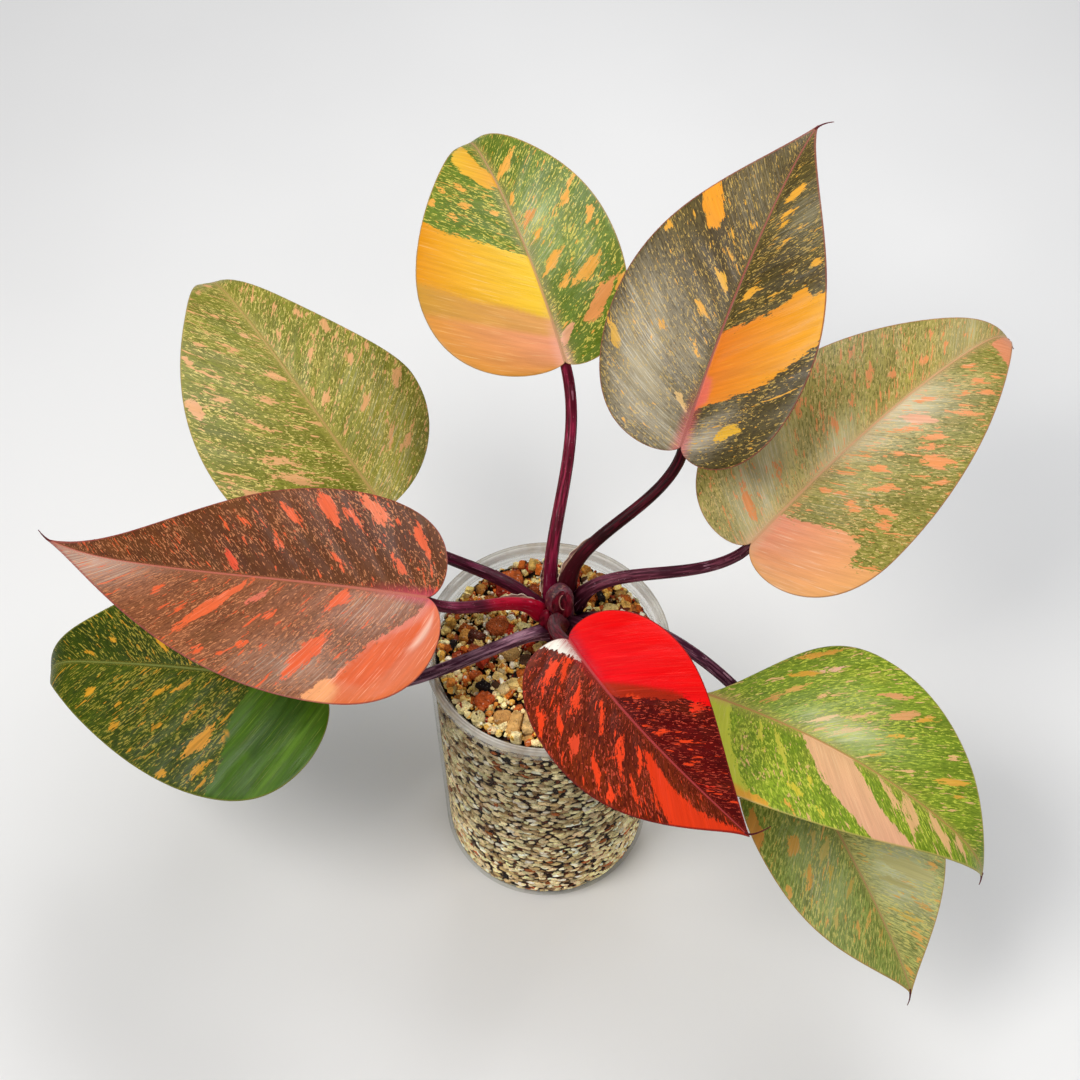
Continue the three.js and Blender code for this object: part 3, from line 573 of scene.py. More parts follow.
def crown_material():
    g = Graph("crown_skin")
    place = g.place()
    rough = g.noise(place, (1, 1, 0.35), 5, 0.6, scale=260)
    g.colour = g.mix(g.ramp(rough, 0.35, 0.65), "2e0b14", "64192c")
    fibres = g.noise(place, (1, 1, 0.12), 3, scale=700)
    g.lay("8a5a44", fibres, 0.58, 0.66, 0, 0.55)
    g.lay("3c2a20", g.times(g.ramp(g.parts(place)[2], 0.172, 0.158), g.ramp(rough, 0.45, 0.6)))
    g.bump(g.plus(rough, fibres), 0.6, 0.8)
    return g.finish(rough, 0.3, 0.7, 0.62, 0.4, Coat_Weight=0.1)


def bud_material():
    g = Graph("bud_look")
    rough = g.noise(g.place(), (1, 1, 0.4), 4, 0.6, scale=300)
    g.colour = g.mix(g.ramp(rough, 0.36, 0.64), "2a0108", "6e0a1e")
    g.bump(rough, 0.4, 0.5)
    return g.finish(rough, 0.3, 0.7, 0.5, 0.36, Coat_Weight=0.03, Coat_Roughness=0.1, Specular_IOR_Level=0.08)


def papery_material():
    g = Graph("sheath_edge")
    place = g.field("stalk")
    streak = g.noise(place, (1.4, 0.12, 1), 4, 0.6)
    g.colour = g.mix(g.ramp(streak, 0.4, 0.62), "5a2a2c", "b08a70")
    g.lay("dccab0", g.parts(place)[0], 0.72, 0.98)
    g.bump(streak, 0.4, 0.7)
    return g.finish(streak, 0.3, 0.7, 0.5, 0.7, Coat_Weight=0.05)


def plastic_material():
    """Clear plastic: mostly see-through, with haze at the rim and foot and rings moulded in the rim."""
    g = Graph("clear_plastic_look")
    place = g.place()
    x, y, z = g.parts(place)[:3]
    radius = g.math("SQRT", g.plus(g.times(x, x), g.times(y, y)))
    rim, lip, foot = g.ramp(z, 0.1462, 0.1478), g.ramp(z, 0.1512, 0.1532), g.ramp(z, 0.012, 0.001)
    smear = g.noise(place, (1, 1, 0.25), 4, 0.6, scale=90)
    haze = g.plus(0.012, g.ramp(smear, 0.45, 0.75, 0, 0.05))
    rings = g.times(g.math("SINE", g.times(radius, 6283 / 1.15)), rim)  # 1.15 mm apart
    for area, amount in ((rim, 0.2), (lip, 0.32), (foot, 0.08), (rings, 0.1)):
        haze = g.plus(haze, g.times(area, amount))
    facing = g.node("LayerWeight", "Facing", {"Blend": 0.3})
    haze = g.plus(haze, g.times(g.math("POWER", facing, 5.0), 0.45), clamp=True)
    milky = g.mix(g.ramp(smear, 0.4, 0.7), "d8d3c6", "b4a690")
    g.colour = g.mix(g.plus(rim, foot, clamp=True), "55534e", milky)
    g.bump(g.noise(place, scale=140), 0.25, 0.3)
    g.finish(smear, 0.4, 0.7, 0.16, 0.3, Specular_IOR_Level=0.6, IOR=1.49)
    clear = g.node("BsdfTransparent", 0, {"Color": (0.965, 0.965, 0.95, 1)})
    surface = g.node("MixShader", 0, {0: haze, 1: clear, 2: g.shader.outputs[0]})
    g.put(g.tree.nodes["Material Output"].inputs["Surface"], surface)
    return g.material


def grain_material(name, pits, contrast):
    """Grains coloured one by one, with pits darkened by painted shade, dust and darker stains."""
    g = Graph(name)
    place = g.place()
    stain = g.noise(place, None, 5, 0.65, scale=330)
    holes = g.cells(place, pits)
    g.colour = g.bright(g.field("shade", "Color"), stain, 0.3, 0.7, 1 - contrast, 1 + contrast)
    # The pits are darkened: painted shade.
    g.colour = g.bright(g.colour, holes, 0.1, 0.35, 0.45, 1.0)
    g.lay("ece4cc", g.noise(place, scale=800), 0.62, 0.72, 0, 0.4)
    g.bump(g.plus(g.times(holes, 0.8), stain), 0.7, 0.9)
    return g.finish(stain, 0.3, 0.7, 0.95, 0.75, Specular_IOR_Level=0.3)


def fines_material():
    g = Graph("dark_fines")
    place = g.place()
    rough = g.noise(place, None, 6, 0.7, scale=420)
    g.colour = g.mix(g.ramp(rough, 0.4, 0.66), "080302", "301408")
    hue = g.parts(g.cells(place, 620, "Color"))
    g.lay("7a3a1c", hue[0], 0.78, 0.86, 0, 0.75)
    g.lay("a88a5a", hue[1], 0.86, 0.92, 0, 0.7)
    g.bump(rough, 1.2, 1.0)
    return g.finish(rough, 0.3, 0.7, 0.95, 0.7, Specular_IOR_Level=0.3)


def floor_material():
    g = Graph("pale_floor")
    cloud = g.noise(g.place(), None, 3, scale=3)
    g.colour = g.mix(g.ramp(cloud, 0.3, 0.7), (0.8, 0.795, 0.785, 1), (0.84, 0.835, 0.825, 1))
    g.bump(g.noise(g.place(), scale=400), 0.05, 0.2)
    return g.finish(cloud, 0.3, 0.7, 0.6, 0.7)


# ---- blades
RIB_STEPS = 240
BLADE_ROWS = 116
SIDE_VEIN_SPACING = 8.5
VEIN_LEAN, VEIN_SPREAD, VEIN_BEND = 0.34, 1.15, 0.5  # how the side veins sweep forward to the margin
ACROSS_VEINS, ALONG_VEINS = 0.8, 1.25  # slanting veins lie closer together, and are longer than their reach
WAVES, WAVE_HEIGHT = 2.4, 1.1  # of the margin
VEIN_RELIEF, CHANNEL_DEPTH, RIDGE_HEIGHT, RIM_BULGE = 0.36, 0.34, 0.3, 0.12
COLUMNS = np.concatenate([
    [0, 0.01, 0.02, 0.032, 0.05, 0.075], np.linspace(0.105, 0.94, 23), [0.96, 0.977, 0.99, 1],
])


def midrib(leaf):
    """Points of the midrib and, at each, the ways along, to the left and up."""
    s = np.linspace(0, 1, RIB_STEPS + 1)
    curl = np.clip((s - 0.75) / 0.25, 0, None) ** 2
    pitch = leaf["pitch"] - leaf["droop"] * s ** 1.5 - leaf["curl"] * curl
    heading = leaf["heading"] + leaf["swing"] * s + leaf["bow"] * np.sin(np.pi * s)
    along = direction(heading, pitch)
    level = direction(heading + 90, 0 * s)
    upright = np.cross(along, level)
    roll = math.radians(leaf["roll"])
    left = level * math.cos(roll) + upright * math.sin(roll)
    up = upright * math.cos(roll) - level * math.sin(roll)
    point = np.zeros((RIB_STEPS + 1, 3))
    point[1:] = np.cumsum((along[1:] + along[:-1]) / 2, 0) * leaf["length"] / RIB_STEPS
    return point + np.array(leaf["base"], float), along, left, up


def margin(half, tip, t):
    _, lobe, widest, full = half
    back = [(0, 0), (-1.25 * lobe, 0.08), (-1.15 * lobe, 1), (widest, 1)]
    sweep = [(widest, 1), (widest + full, 1), (0.85, tip), (1, 0)]
    first = bezier(np.clip(2 * t, 0, 1), back)
    second = bezier(np.clip(2 * t - 1, 0, 1), sweep)
    return np.where((t < 0.5)[..., None], first, second)


def blade_surface(leaf, number, t, s, side):
    """Middle surface of a blade, its up vectors, mm along and across, and mm across of the margin."""
    left_edge, right_edge = (margin(leaf[half], leaf["tip"], t) for half in ("left", "right"))
    edge = np.where((side > 0)[..., None], left_edge, right_edge)
    width = np.where(side > 0, leaf["left"][0], leaf["right"][0])
    x = t ** 2 * (1 - s) + edge[..., 0] * s
    y = edge[..., 1] * s
    point, along, left, up = midrib(leaf)
    place = np.clip(x, 0, 1) * RIB_STEPS
    step = np.minimum(place.astype(int), RIB_STEPS - 1)
    share = (place - step)[..., None]

    def at(table):
        return table[step] * (1 - share) + table[step + 1] * share

    fold = math.radians(leaf["fold"])
    wave = WAVE_HEIGHT * s * s * np.sin(np.pi * t) * np.sin(2 * np.pi * WAVES * t + number * 1.7 + side)
    lift = y * width * math.sin(fold) - leaf["sag"] * y * y + wave
    ways = at(up)
    places = at(point) + at(along) * (np.minimum(0, x) * leaf["length"])[..., None]
    places = places + at(left) * (side * y * width * math.cos(fold))[..., None] + ways * lift[..., None]
    return places, ways, x, y * width, edge[..., 1] * width


def polygon_cover(across, along, corners, scale):
    """Signed distance in mm to a polygon of (along, across) corners, above 0 inside it."""
    inside = np.zeros(across.shape, bool)
    nearest = np.full(across.shape, 1e9)
    for (a0, s0), (a1, s1) in zip(corners, corners[1:] + corners[:1]):
        p = (along - a0) * scale[0], (across - s0) * scale[1]
        q = (a1 - a0) * scale[0], (s1 - s0) * scale[1]
        size = q[0] ** 2 + q[1] ** 2 + 1e-9
        share = np.clip((p[0] * q[0] + p[1] * q[1]) / size, 0, 1)
        nearest = np.minimum(nearest, np.hypot(p[0] - share * q[0], p[1] - share * q[1]))
        if s0 != s1:
            crosses = (s0 > across) != (s1 > across)
            inside ^= crosses & (along < a0 + (across - s0) / (s1 - s0) * (a1 - a0))
    return np.where(inside, nearest, -nearest)


def paint(leaf, look, vein, share, side, place, reach):
    """At each place of a blade: base colour with its painted highlights, tint of the nearest mark, its signed
    cover in mm, and the strength of the painted highlights.
    """
    shade, tint = np.zeros((2, *vein.shape, 3))
    cover = np.full(vein.shape, -20.0)
    sheen = np.zeros(vein.shape)
    scale = (leaf["length"] * ACROSS_VEINS, np.maximum(reach, 3) * ALONG_VEINS)
    mottle = 0.5 + 0.5 * np.sin(vein * 9 + share * 2.2 + leaf["length"]) * np.cos(share * 5 - vein * 4)
    for key, sign in (("left", 1), ("right", -1)):
        here = side == sign
        for kind, text in (line.split(maxsplit=1) for line in look[key].split("\n")):
            if kind == "base":
                first, second = (linear(colour) for colour in text.split())
                shade[here] = blend(first, second, mottle[here][:, None])
            # A painted highlight: the base colour is drawn towards a pale colour, and its strength is kept to
            # fade the grain.
            elif kind == "sheen":
                for a, s, radius, colour, strength in read(text):
                    far = np.hypot((vein - a / 100) * scale[0], (share - s / 100) * scale[1])[here] / radius
                    amount = strength / 100 * np.exp(-far ** 2)
                    shade[here] = blend(shade[here], linear(colour), amount[:, None])
                    sheen[here] = np.maximum(sheen[here], amount)
            elif kind == "streaks":
                for a, start, end, width, *colour in read(text):
                    a, start, end = a / 100, start / 100, end / 100
                    way = (share - (start + end) / 2) / ((end - start) * 0.62)
                    bow = 0.7 * np.sin(way * 2.1 + a * 40)
                    lens = width * 0.44 * (1 - np.abs(way) ** 1.25) * (1 - 0.35 * way)
                    found = lens - np.abs((vein - a) * scale[0] + bow)
                    found = np.where(np.abs(way) > 1.5, -20, found)
                    closer = here & (found > cover)
                    tint[closer] = linear(colour[0] if colour else look["colours"].split()[2])
                    cover = np.where(closer, found, cover)
            else:
                colours, corners = text.split(":")
                corners = read(corners)
                if kind == "patch":
                    found = polygon_cover(place[1], place[0], corners, (1, 1))
                else:  # a sector, whose ends on the midrib and the margin are drawn out past them
                    corners = [(a / 100, {0: -0.2, 100: 1.2}.get(s, s / 100)) for a, s in corners]
                    found = polygon_cover(share, vein, corners, scale)
                tones = [linear(colour) for colour in colours.split()]
                over = here * np.where(cover > 0, smooth_step(-0.2, 2, found), found > cover)
                tint = blend(tint, blend(tones[0], tones[-1], share[..., None]), over[..., None])
                cover = np.where(here, np.maximum(cover, found), cover)
    return shade, tint, np.clip(cover, -12, 12), sheen


def make_blade(number, leaf, look):
    share = np.concatenate([COLUMNS[::-1], COLUMNS[1:]])  # left margin, midrib, right margin
    sign = np.where(np.arange(len(share)) < len(COLUMNS), 1.0, -1.0)
    t = np.linspace(0, 1, BLADE_ROWS + 1)
    t = t + 0.035 * np.sin(2 * np.pi * t)  # closer rows at the base and the tip
    t, s = np.meshgrid(t, share, indexing="ij")
    s[0], s[-1] = 0, 0
    side = np.zeros(s.shape) + sign
    middle, up, x, y, reach = blade_surface(leaf, number, t, s, side)

    q = y / leaf["length"]
    vein = (x - VEIN_LEAN * q - VEIN_BEND * q * q) / (1 + VEIN_SPREAD * q)
    along = vein * leaf["length"] * ACROSS_VEINS
    ends = np.sin(np.pi * t) ** 0.5
    across = np.abs(y)
    from_margin = np.maximum(0, reach - across)

    # Side veins are pressed in and the skin between them swells; the midrib runs in a channel
    phase = along / SIDE_VEIN_SPACING + number * 0.37 + 0.12 * np.sin(number + q * 30)
    swell = np.abs(np.sin(np.pi * phase)) ** 0.75
    body = smooth_step(0.5, 5, across) * smooth_step(0.3, 6, from_margin)
    relief = VEIN_RELIEF * (swell - 0.6) * body
    relief -= CHANNEL_DEPTH * np.exp(-(across / 1.5) ** 2) * ends * (1 - 0.5 * t)
    ridge = RIDGE_HEIGHT * np.exp(-(across / 0.55) ** 2) * ends
    edge = 1 - 0.45 * smooth_step(1.2, 0, from_margin) * ends
    rib = np.maximum(0, 1 - across / (0.24 * np.maximum(reach, 4))) * (1 - 0.7 * t)
    top = middle + up * (THICKNESS / 2 * edge + relief + ridge)[..., None]
    low = middle - up * (THICKNESS / 2 * edge - relief + RIB_DEPTH * rib ** 1.5 * 0.9)[..., None]
    out = unit(middle[:, [0, -1]] - middle[:, [1, -2]] + 1e-9)
    rims = (top[:, [0, -1]] + low[:, [0, -1]]) / 2 + out * (RIM_BULGE * ends[:, [0, -1]])[..., None]

    def ring(of_top, of_low, of_rim):
        return np.concatenate([of_top, of_rim[:, 1:], of_low[:, ::-1], of_rim[:, :1]], 1)

    def closed(values, low_values=None):
        """The values of the points of the rings, in their order."""
        made = ring(values, values if low_values is None else low_values, values[:, [0, -1]])
        return made.reshape(-1, *made.shape[2:])

    points = ring(top, low, rims)
    shade, tint, cover, sheen = paint(leaf, look, vein, s, side, (x * leaf["length"], y), reach)
    seed = number * 97.0 + 30 * np.clip(y * side, -1, 1)
    from_rib = across / blend(1.0, 0.36, np.clip(x, 0, 1) ** 0.6)
    zones = [np.stack([from_rib, from_margin, np.full(s.shape, under)], -1) for under in (0.0, 1.0)]
    blade = piece(
        f"blade_{number}", look["slot"], (points.reshape(-1, 3), [loop_faces(*points.shape[:2])]),
        leaf_material(number, look), f"leaf_{number}_blade",
        vein=closed(np.stack([across * ALONG_VEINS, along, seed], -1)), zone=closed(*zones),
        shade=closed(shade), tint=closed(tint), cover=closed(cover), sheen=closed(sheen))
    with edited(blade.data) as work:  # the rows at the base and the tip are single places
        bmesh.ops.remove_doubles(work, verts=work.verts, dist=1e-4 * MM)
        bmesh.ops.dissolve_degenerate(work, dist=1e-4 * MM, edges=work.edges)


# ---- tubes, petioles and stubs
PETIOLE_RINGS = 77
FLAP_RINGS = 26
THREAD_RINGS = 14
PATTERN_RADIUS = 3  # mm round a tube are those of this radius, so that the pattern keeps to the skin


def make_tube(name, slot, points, radii, sides, material, seed, *nodes, wobble=0.0):
    """A closed tube round a path. Its field stalk holds mm round, mm along and the seed."""
    steps = len(points)
    padded = np.concatenate([points[:1], points, points[-1:]])
    tangents = unit(padded[2:] - padded[:-2])
    across = np.cross([0, 0, 1], tangents[0])
    angle = np.arange(sides) * 2 * np.pi / sides
    along = path_length(points)
    rings = []
    for index in range(steps):
        across = unit(across - tangents[index] * (across @ tangents[index]))
        upward = np.cross(tangents[index], across)
        ridges = 0.6 * np.cos(5 * angle + seed) + 0.5 * np.cos(8 * angle + seed * 2 + along[index] * 0.02)
        ridges = ridges + 0.6 * np.cos(angle * 3 + along[index] * 0.05 + seed)
        ring = np.cos(angle)[:, None] * across + np.sin(angle)[:, None] * upward
        rings.append(points[index] + ring * (radii[index] * (1 + wobble * ridges))[:, None])
    # The seam of the coordinate lies below, so the pattern is folded there instead of torn
    folded = PATTERN_RADIUS * np.abs((angle + np.pi / 2) % (2 * np.pi) - np.pi)
    place = np.stack(np.broadcast_arrays(folded, along[:, None], seed * 31.0), -1).reshape(-1, 3)
    place = np.concatenate([place, [[0, 0, seed * 31.0], [0, along[-1], seed * 31.0]]])
    piece(name, slot, capped(np.array(rings), points[0], points[-1]), material, *nodes, stalk=place)


def on_stem(azimuth, height, steepness, radius):
    """Where a tube starts that leaves the side of the stem."""
    away = STEM_RADIUS + radius * math.sin(math.radians(steepness))
    return direction(azimuth, 0) * away + [STEM_X, STEM_Y, height]


def petiole_path(leaf):
    azimuth, height, steepness = leaf["sheath"]
    start = on_stem(azimuth, height, steepness, PETIOLE_BASE)
    point, along, _, up = (table[0] for table in midrib(leaf))
    knee = math.radians(leaf["knee"])
    under = THICKNESS / 2 + RIB_DEPTH + PETIOLE_END * math.cos(knee) + GAP
    end = point - up * under + along * 1.5
    arrival = along * math.cos(knee) + up * math.sin(knee)
    reach = np.linalg.norm(end - start) * 0.36
    outward = direction(azimuth, steepness)
    controls = [start, start + outward * reach, end - arrival * reach, end]
    return bezier(np.linspace(0, 1, PETIOLE_RINGS), controls), outward


def make_petiole(number, leaf, stalk):
    path, outward = petiole_path(leaf)
    radii = blend(PETIOLE_BASE, PETIOLE_END, np.sqrt(np.linspace(0, 1, len(path))))
    length = path_length(path)
    radii = radii * (1 + 0.28 * smooth_step(13, 0, length))  # swollen foot, which clasps the stem
    point, _, _, up = midrib(leaf)
    # The last stretch rises to the blade and runs on below the midrib, thinner and thinner
    lift = smooth_step(length[-1] - 9, length[-1], length)
    path = path + up[0] * (lift * (RIB_DEPTH + GAP - 0.2))[:, None]
    radii = radii * (1 - 0.06 * lift)
    index = (np.array([4, 8, 12, 16, 20]) / leaf["length"] * RIB_STEPS).astype(int)
    thin = np.array([1.75, 1.35, 1.0, 0.75, 0.5])
    tail = point[index] - up[index] * (THICKNESS / 2 + thin * 0.75)[:, None]
    root = path[0] - outward * 3.0 - np.array([0, 0, 1.0])
    path = np.concatenate([[root], path, tail])
    radii = np.concatenate([[radii[0] * 0.9], radii, thin])
    material = stalk_material(f"stalk_{number}_look", *stalk)
    make_tube(f"stalk_{number}", "petiole", path, radii, 30, material, number, f"leaf_{number}_petiole",
              wobble=0.045)


def make_tip_thread(number, bend, material):
    point, along, left, up = (table[-1] for table in midrib(LEAVES[number - 1]))
    share = np.linspace(0, 1, THREAD_RINGS)[:, None]
    hook = along * 6.5 * share + left * bend * share ** 2 + up * 1.2 * share ** 2 * (1 - share)
    radii = blend(0.62, 0.16, share[:, 0] ** 0.7)
    make_tube(f"tip_thread_{number}", "petiole", point - along * 2.5 + hook, radii, 10, material, number)


def make_flap(number, leaf, side, reach, width, material):
    """A thin papery edge of a sheath, along one side of a petiole's foot."""
    path, _ = petiole_path(leaf)
    length = path_length(path)
    index = np.searchsorted(length, np.linspace(0.5, reach, FLAP_RINGS))
    tangents = unit(path[index + 1] - path[index])
    across = unit(np.cross([0, 0, 1.0], tangents)) * side
    upward = (np.cross(tangents, across) * side)[:, None]
    share = np.linspace(0, 1, FLAP_RINGS)
    span = width * np.sin(np.pi * (0.12 + 0.88 * share) ** 0.8) * (1 + 0.2 * np.sin(share * 23 + side))
    ribs = np.linspace(0, 1, 7)
    outer = 2.7 + span[:, None] * ribs
    curl = 0.9 + 1.1 * ribs ** 2 * span[:, None] * 0.35
    top = path[index][:, None] + across[:, None] * outer[..., None] + upward * curl[..., None]
    rings = np.concatenate([top, (top - upward * 0.35)[:, ::-1]], 1)
    place = np.stack(np.broadcast_arrays([*ribs, *ribs[::-1]], length[index][:, None], 0.0), -1)
    place = np.concatenate([place.reshape(-1, 3), np.zeros((2, 3))])
    shape = capped(rings, rings[0].mean(0), rings[-1].mean(0))
    made = piece(f"sheath_flap_{number}", "stem", shape, material, stalk=place)
    with edited(made.data) as work:
        bmesh.ops.recalc_face_normals(work, faces=work.faces)


# ---- crown
CROWN_BUD = np.array([6.2, 3.0, 180.5]), np.array([4.4, 4.2, 7.5])  # centre and half sizes
OLD_SHEATH = np.array([1.2, 3.6, 163]), np.array([4.6, 3.6, 9.5])
STUBS = [(256, 153.5, 16, 13, 2.6), (92, 154, 22, 9, 2.2)]  # azimuth, height, rise, length, radius


def lathe(profile, sides):
    """The shape of a profile of (radius, height) turned about Z; it starts and ends on the axis."""
    profile = np.array(profile, float)
    angle = np.arange(sides) * 2 * np.pi / sides
    rings = np.stack(np.broadcast_arrays(
        profile[1:-1, :1] * np.cos(angle), profile[1:-1, :1] * np.sin(angle), profile[1:-1, 1:]), -1)
    return capped(rings, [0, 0, profile[0, 1]], [0, 0, profile[-1, 1]])


def make_crown(material):
    heights = np.linspace(120, STEM_TOP - 4, 74)
    scars = np.abs(((heights - 151.5) / 7.5) % 1 - 0.5) * 2
    radii = STEM_RADIUS - 0.9 + 0.8 * smooth_step(0.1, 0.5, scars) + 0.2 * np.sin(heights * 0.7)
    dome = np.linspace(0, math.pi / 2, 12)[1:]
    over = [(radii[-1] * math.cos(a) + 0.01, heights[-1] + 4 * math.sin(a)) for a in dome]
    points, faces = lathe([(0, 119), *zip(radii, heights), *over, (0, STEM_TOP + 0.01)], 72)
    bumps = wave_noise(points * [0.35, 0.35, 0.18], 4)
    points[:, :2] += points[:, :2] * (bumps * 0.09)[:, None] + [STEM_X, STEM_Y]
    piece("crown_core", "stem", (points, faces), material, "stem")


def make_bud(name, bud, lean, seed, material):
    """A rounded, slightly furrowed swelling of the crown."""
    centre, half = bud
    points, faces = icosphere(5)
    furrow = 1 + 0.05 * wave_noise(points * 2.2, seed) - 0.09 * np.exp(-((points[:, 0] - 0.25) / 0.12) ** 2)
    points = points * furrow[:, None] * half
    points[:, :2] += points[:, 2:] * lean
    place = points[:, [0, 2, 1]] * [1, 1, 0] + [0, 0, seed]
    piece(name, "stem", (points + centre, [faces]), material, stalk=place)


def make_seam(material):
    """The thin pale edge of the youngest sheath, curled over the front of the crown's bud."""
    centre, half = CROWN_BUD
    turn = np.radians(np.linspace(95, 290, 44))[:, None]
    front, rise = np.array([0.05, -0.62, 0.78]), np.array([0, 0.78, 0.62])
    way = front + 0.36 * np.cos(turn) * [1.0, 0, 0] + 0.62 * np.sin(turn) * rise
    radii = 0.26 * (1 - np.linspace(-1, 1, 44) ** 4 * 0.6)
    make_tube("bud_seam", "stem", centre + unit(way) * half * 1.03, radii, 10, material, 3)


def make_stub(number, stub, material):
    azimuth, height, rise, length, radius = stub
    share = np.linspace(-0.12, 1, 30)
    path = on_stem(azimuth, height, rise, radius) + share[:, None] * length * direction(azimuth, rise)
    rounded = np.where(share > 0.9, 1 - 6 * np.maximum(share - 0.9, 0) ** 1.15, 1)
    radii = radius * (1 + 0.07 * np.sin(share * 9)) * rounded
    make_tube(f"stub_{number}", "stem", path, radii, 26, material, 20 + number, f"leaf_stub_{number}",
              wobble=0.06)


# ---- pot
def arc(centre, radius, start, end, steps):
    angles = np.radians(np.linspace(start, end, steps + 1))
    return [(centre[0] + radius * math.cos(a), centre[1] + radius * math.sin(a)) for a in angles]


def slope(low, high, shares):
    """Profile points on the straight line between two places."""
    return [tuple(blend(np.array(low), np.array(high), share)) for share in shares]


def make_pot(material):
    centre = POT_BASE_RADIUS - FOOT_ROUND
    inner = FOOT_ROUND - WALL
    profile = [
        (0, 0), (20, 0), *arc((centre, FOOT_ROUND), FOOT_ROUND, -90, 0, 12),
        *slope((POT_BASE_RADIUS, FOOT_ROUND), (POT_NECK_RADIUS, 145.6), np.linspace(0.05, 1, 16)),
        # Collar and lip outside, two grooves in the lip's top
        (50.35, 146.2), (50.7, 146.7), (50.95, 147.1), (51, 147.6), (51, 149.6), (51, 151.6),
        (51.15, 152.0), (51.6, 152.3), (51.9, 152.6), (52, 153), (52, 153.8),
        *arc((51.2, 154.2), 0.8, 10, 90, 6),
        (50.95, 155), (50.8, 154.86), (50.65, 155), (50.35, 155), (50.2, 154.86), (50.05, 155),
        # Down the inside, over the stacking ledge
        (49.75, 155), (49.6, 154.98), (49.3, 154.8), (49.08, 154.5), (49, 154.1), (48.75, 152.8),
        (48.6, 152.4), (47.9, 151.2), (47.15, 149.9), (47.0, 149.5), (47.0, 148.8), (47.15, 148.4),
        (47.8, 147.6), (48.65, 146.5), INNER_NECK,
        *slope(INNER_NECK, INNER_FOOT, np.linspace(0.06, 0.99, 16)),
        *reversed(arc((centre, FLOOR + inner), inner, -90, 0, 10)), (20, FLOOR), (0, FLOOR),
    ]
    pot = mesh_object("nursery_pot", lathe(profile, 176), material)
    cutter_mesh = bpy.data.meshes.new("drain_cutters")
    with edited(cutter_mesh) as work:
        for hole in range(DRAIN_HOLES):
            angle = (hole + 0.5) * 2 * math.pi / DRAIN_HOLES
            made = bmesh.ops.create_cone(work, cap_ends=True, segments=28, depth=6 * MM,
                                         radius1=DRAIN_RADIUS * MM, radius2=DRAIN_RADIUS * MM)
            place = (DRAIN_RING * MM * math.cos(angle), DRAIN_RING * MM * math.sin(angle), 0)
            bmesh.ops.translate(work, verts=made["verts"], vec=place)
    cutter = bpy.data.objects.new("drain_cutters", cutter_mesh)
    scene.collection.objects.link(cutter)
    cut = pot.modifiers.new("drain holes", "BOOLEAN")
    cut.object = cutter
    cut.solver = "EXACT"
    made = bpy.data.meshes.new_from_object(pot.evaluated_get(bpy.context.evaluated_depsgraph_get()))
    pot.modifiers.clear()
    pot.data = made
    bpy.data.objects.remove(cutter)
    bpy.data.meshes.remove(cutter_mesh)
    with edited(made) as work:
        for edge in work.edges:
            edge.smooth = edge.calc_face_angle(0) < math.radians(50)
    belongs(pot, "clear_plastic", "pot")


# ---- mix
WALL_PALETTE = "f4e2b4 30, e4cfa0 28, c4a878 18, 94744e 9, 40281a 5, a85c2c 3, fcf4dc 9"
PUMICE_PALETTE = "f4d47c 30, f8e4a4 28, ecb44c 16, fcf2d4 8, dc9038 9, b85c24 6, 50341e 3"
BARK_PALETTE = "9a4416 20, d06a1c 22, 5e2410 10, 180a06 12, dc8e34 16, b0300e 12, e6b45c 8"
WALL_FLARE = 2.2 / 137  # mm of radius to a mm of height
WALL_ROW = 2.03  # from one row of grains at the wall to the next
TOP_REACH, TOP_LIMIT = 45.6, 46.4  # of the grains' centres and of their outsides, on top of the mix
LUMP_SUNK = 0.35
LUMPS = dict(  # of each lump: x, y, half sizes, turn, colour
    bark_piece="-7 -34 3.2 6.4 3 -12 c9a468, -21 12 5.2 4.6 2.8 35 b85a26, -15 36 5 4.6 3 10 b8561e, "
               "22 33 4.2 6.2 3 -28 a86a34, -26 -24 4 3.4 2.6 50 c4561e",
    pumice_piece="-15.5 -1.5 4 4.6 2.8 40 c49a58, -18.5 -32 4.2 3.4 2.8 0 c08c4c, "
                 "-28.5 -31.5 3.4 3.2 2.4 20 dccb8e, 1 37 3.4 4.8 2.8 4 cf9a52, 27 20 3.8 3.6 2.8 -20 e0c078",
    pumice_chunk="-13.4 -35 3.1 6.6 2.8 -14 d0a05c, -7.5 -42 2.3 2 1.8 20 c89450, -18 -19 3 2.4 2 30 dcc084, "
                 "-33.5 7 3.8 3.2 2.4 -20 cf8f3e, 31.7 28.4 2.8 2.4 2 15 c89a50, "
                 "-28.6 31.5 2.5 2.2 1.9 60 c88a3c",
    bark_chunk="-22.5 35 3 2.4 2.2 40 b04a1c, -8 42 2.6 2.2 1.8 0 a8441c, 36.5 19.5 2.6 3 2 -30 b06a2c, "
               "11 37 2.8 3.4 2 25 8a3816, -37.5 -4 2.4 3.2 2 5 a8441c, -30 -12 2.2 2.8 2 70 b8561e",
)


def draw_cell(a, b):
    wave = np.sin(a * 127.1 + b * 311.7) * 43758.5453
    return wave - np.floor(wave)


def mix_height(x, y):
    """Height of the mix's top, as in the CAD model."""
    column, row = np.floor(x / GRAIN_CELL), np.floor(y / GRAIN_CELL)
    highest = np.zeros_like(x)
    for di in (-1, 0, 1):
        for dj in (-1, 0, 1):
            i, j = column + di, row + dj
            centre_x = (i + draw_cell(i, j)) * GRAIN_CELL
            centre_y = (j + draw_cell(j, i + 50)) * GRAIN_CELL
            radius = GRAIN_CELL * (0.45 + 0.35 * draw_cell(i + 9, j))
            share = np.hypot(x - centre_x, y - centre_y) / radius
            height = np.sqrt(np.clip(1 - share ** 2, 0, 1)) * (0.5 + draw_cell(i, j + 7))
            highest = np.maximum(highest, height)
    share = np.hypot(x, y) / LEDGE_RADIUS
    return MIX_TOP + MIX_MOUND * (0.5 - share ** 2) + (highest - 0.5) * GRAIN_RELIEF


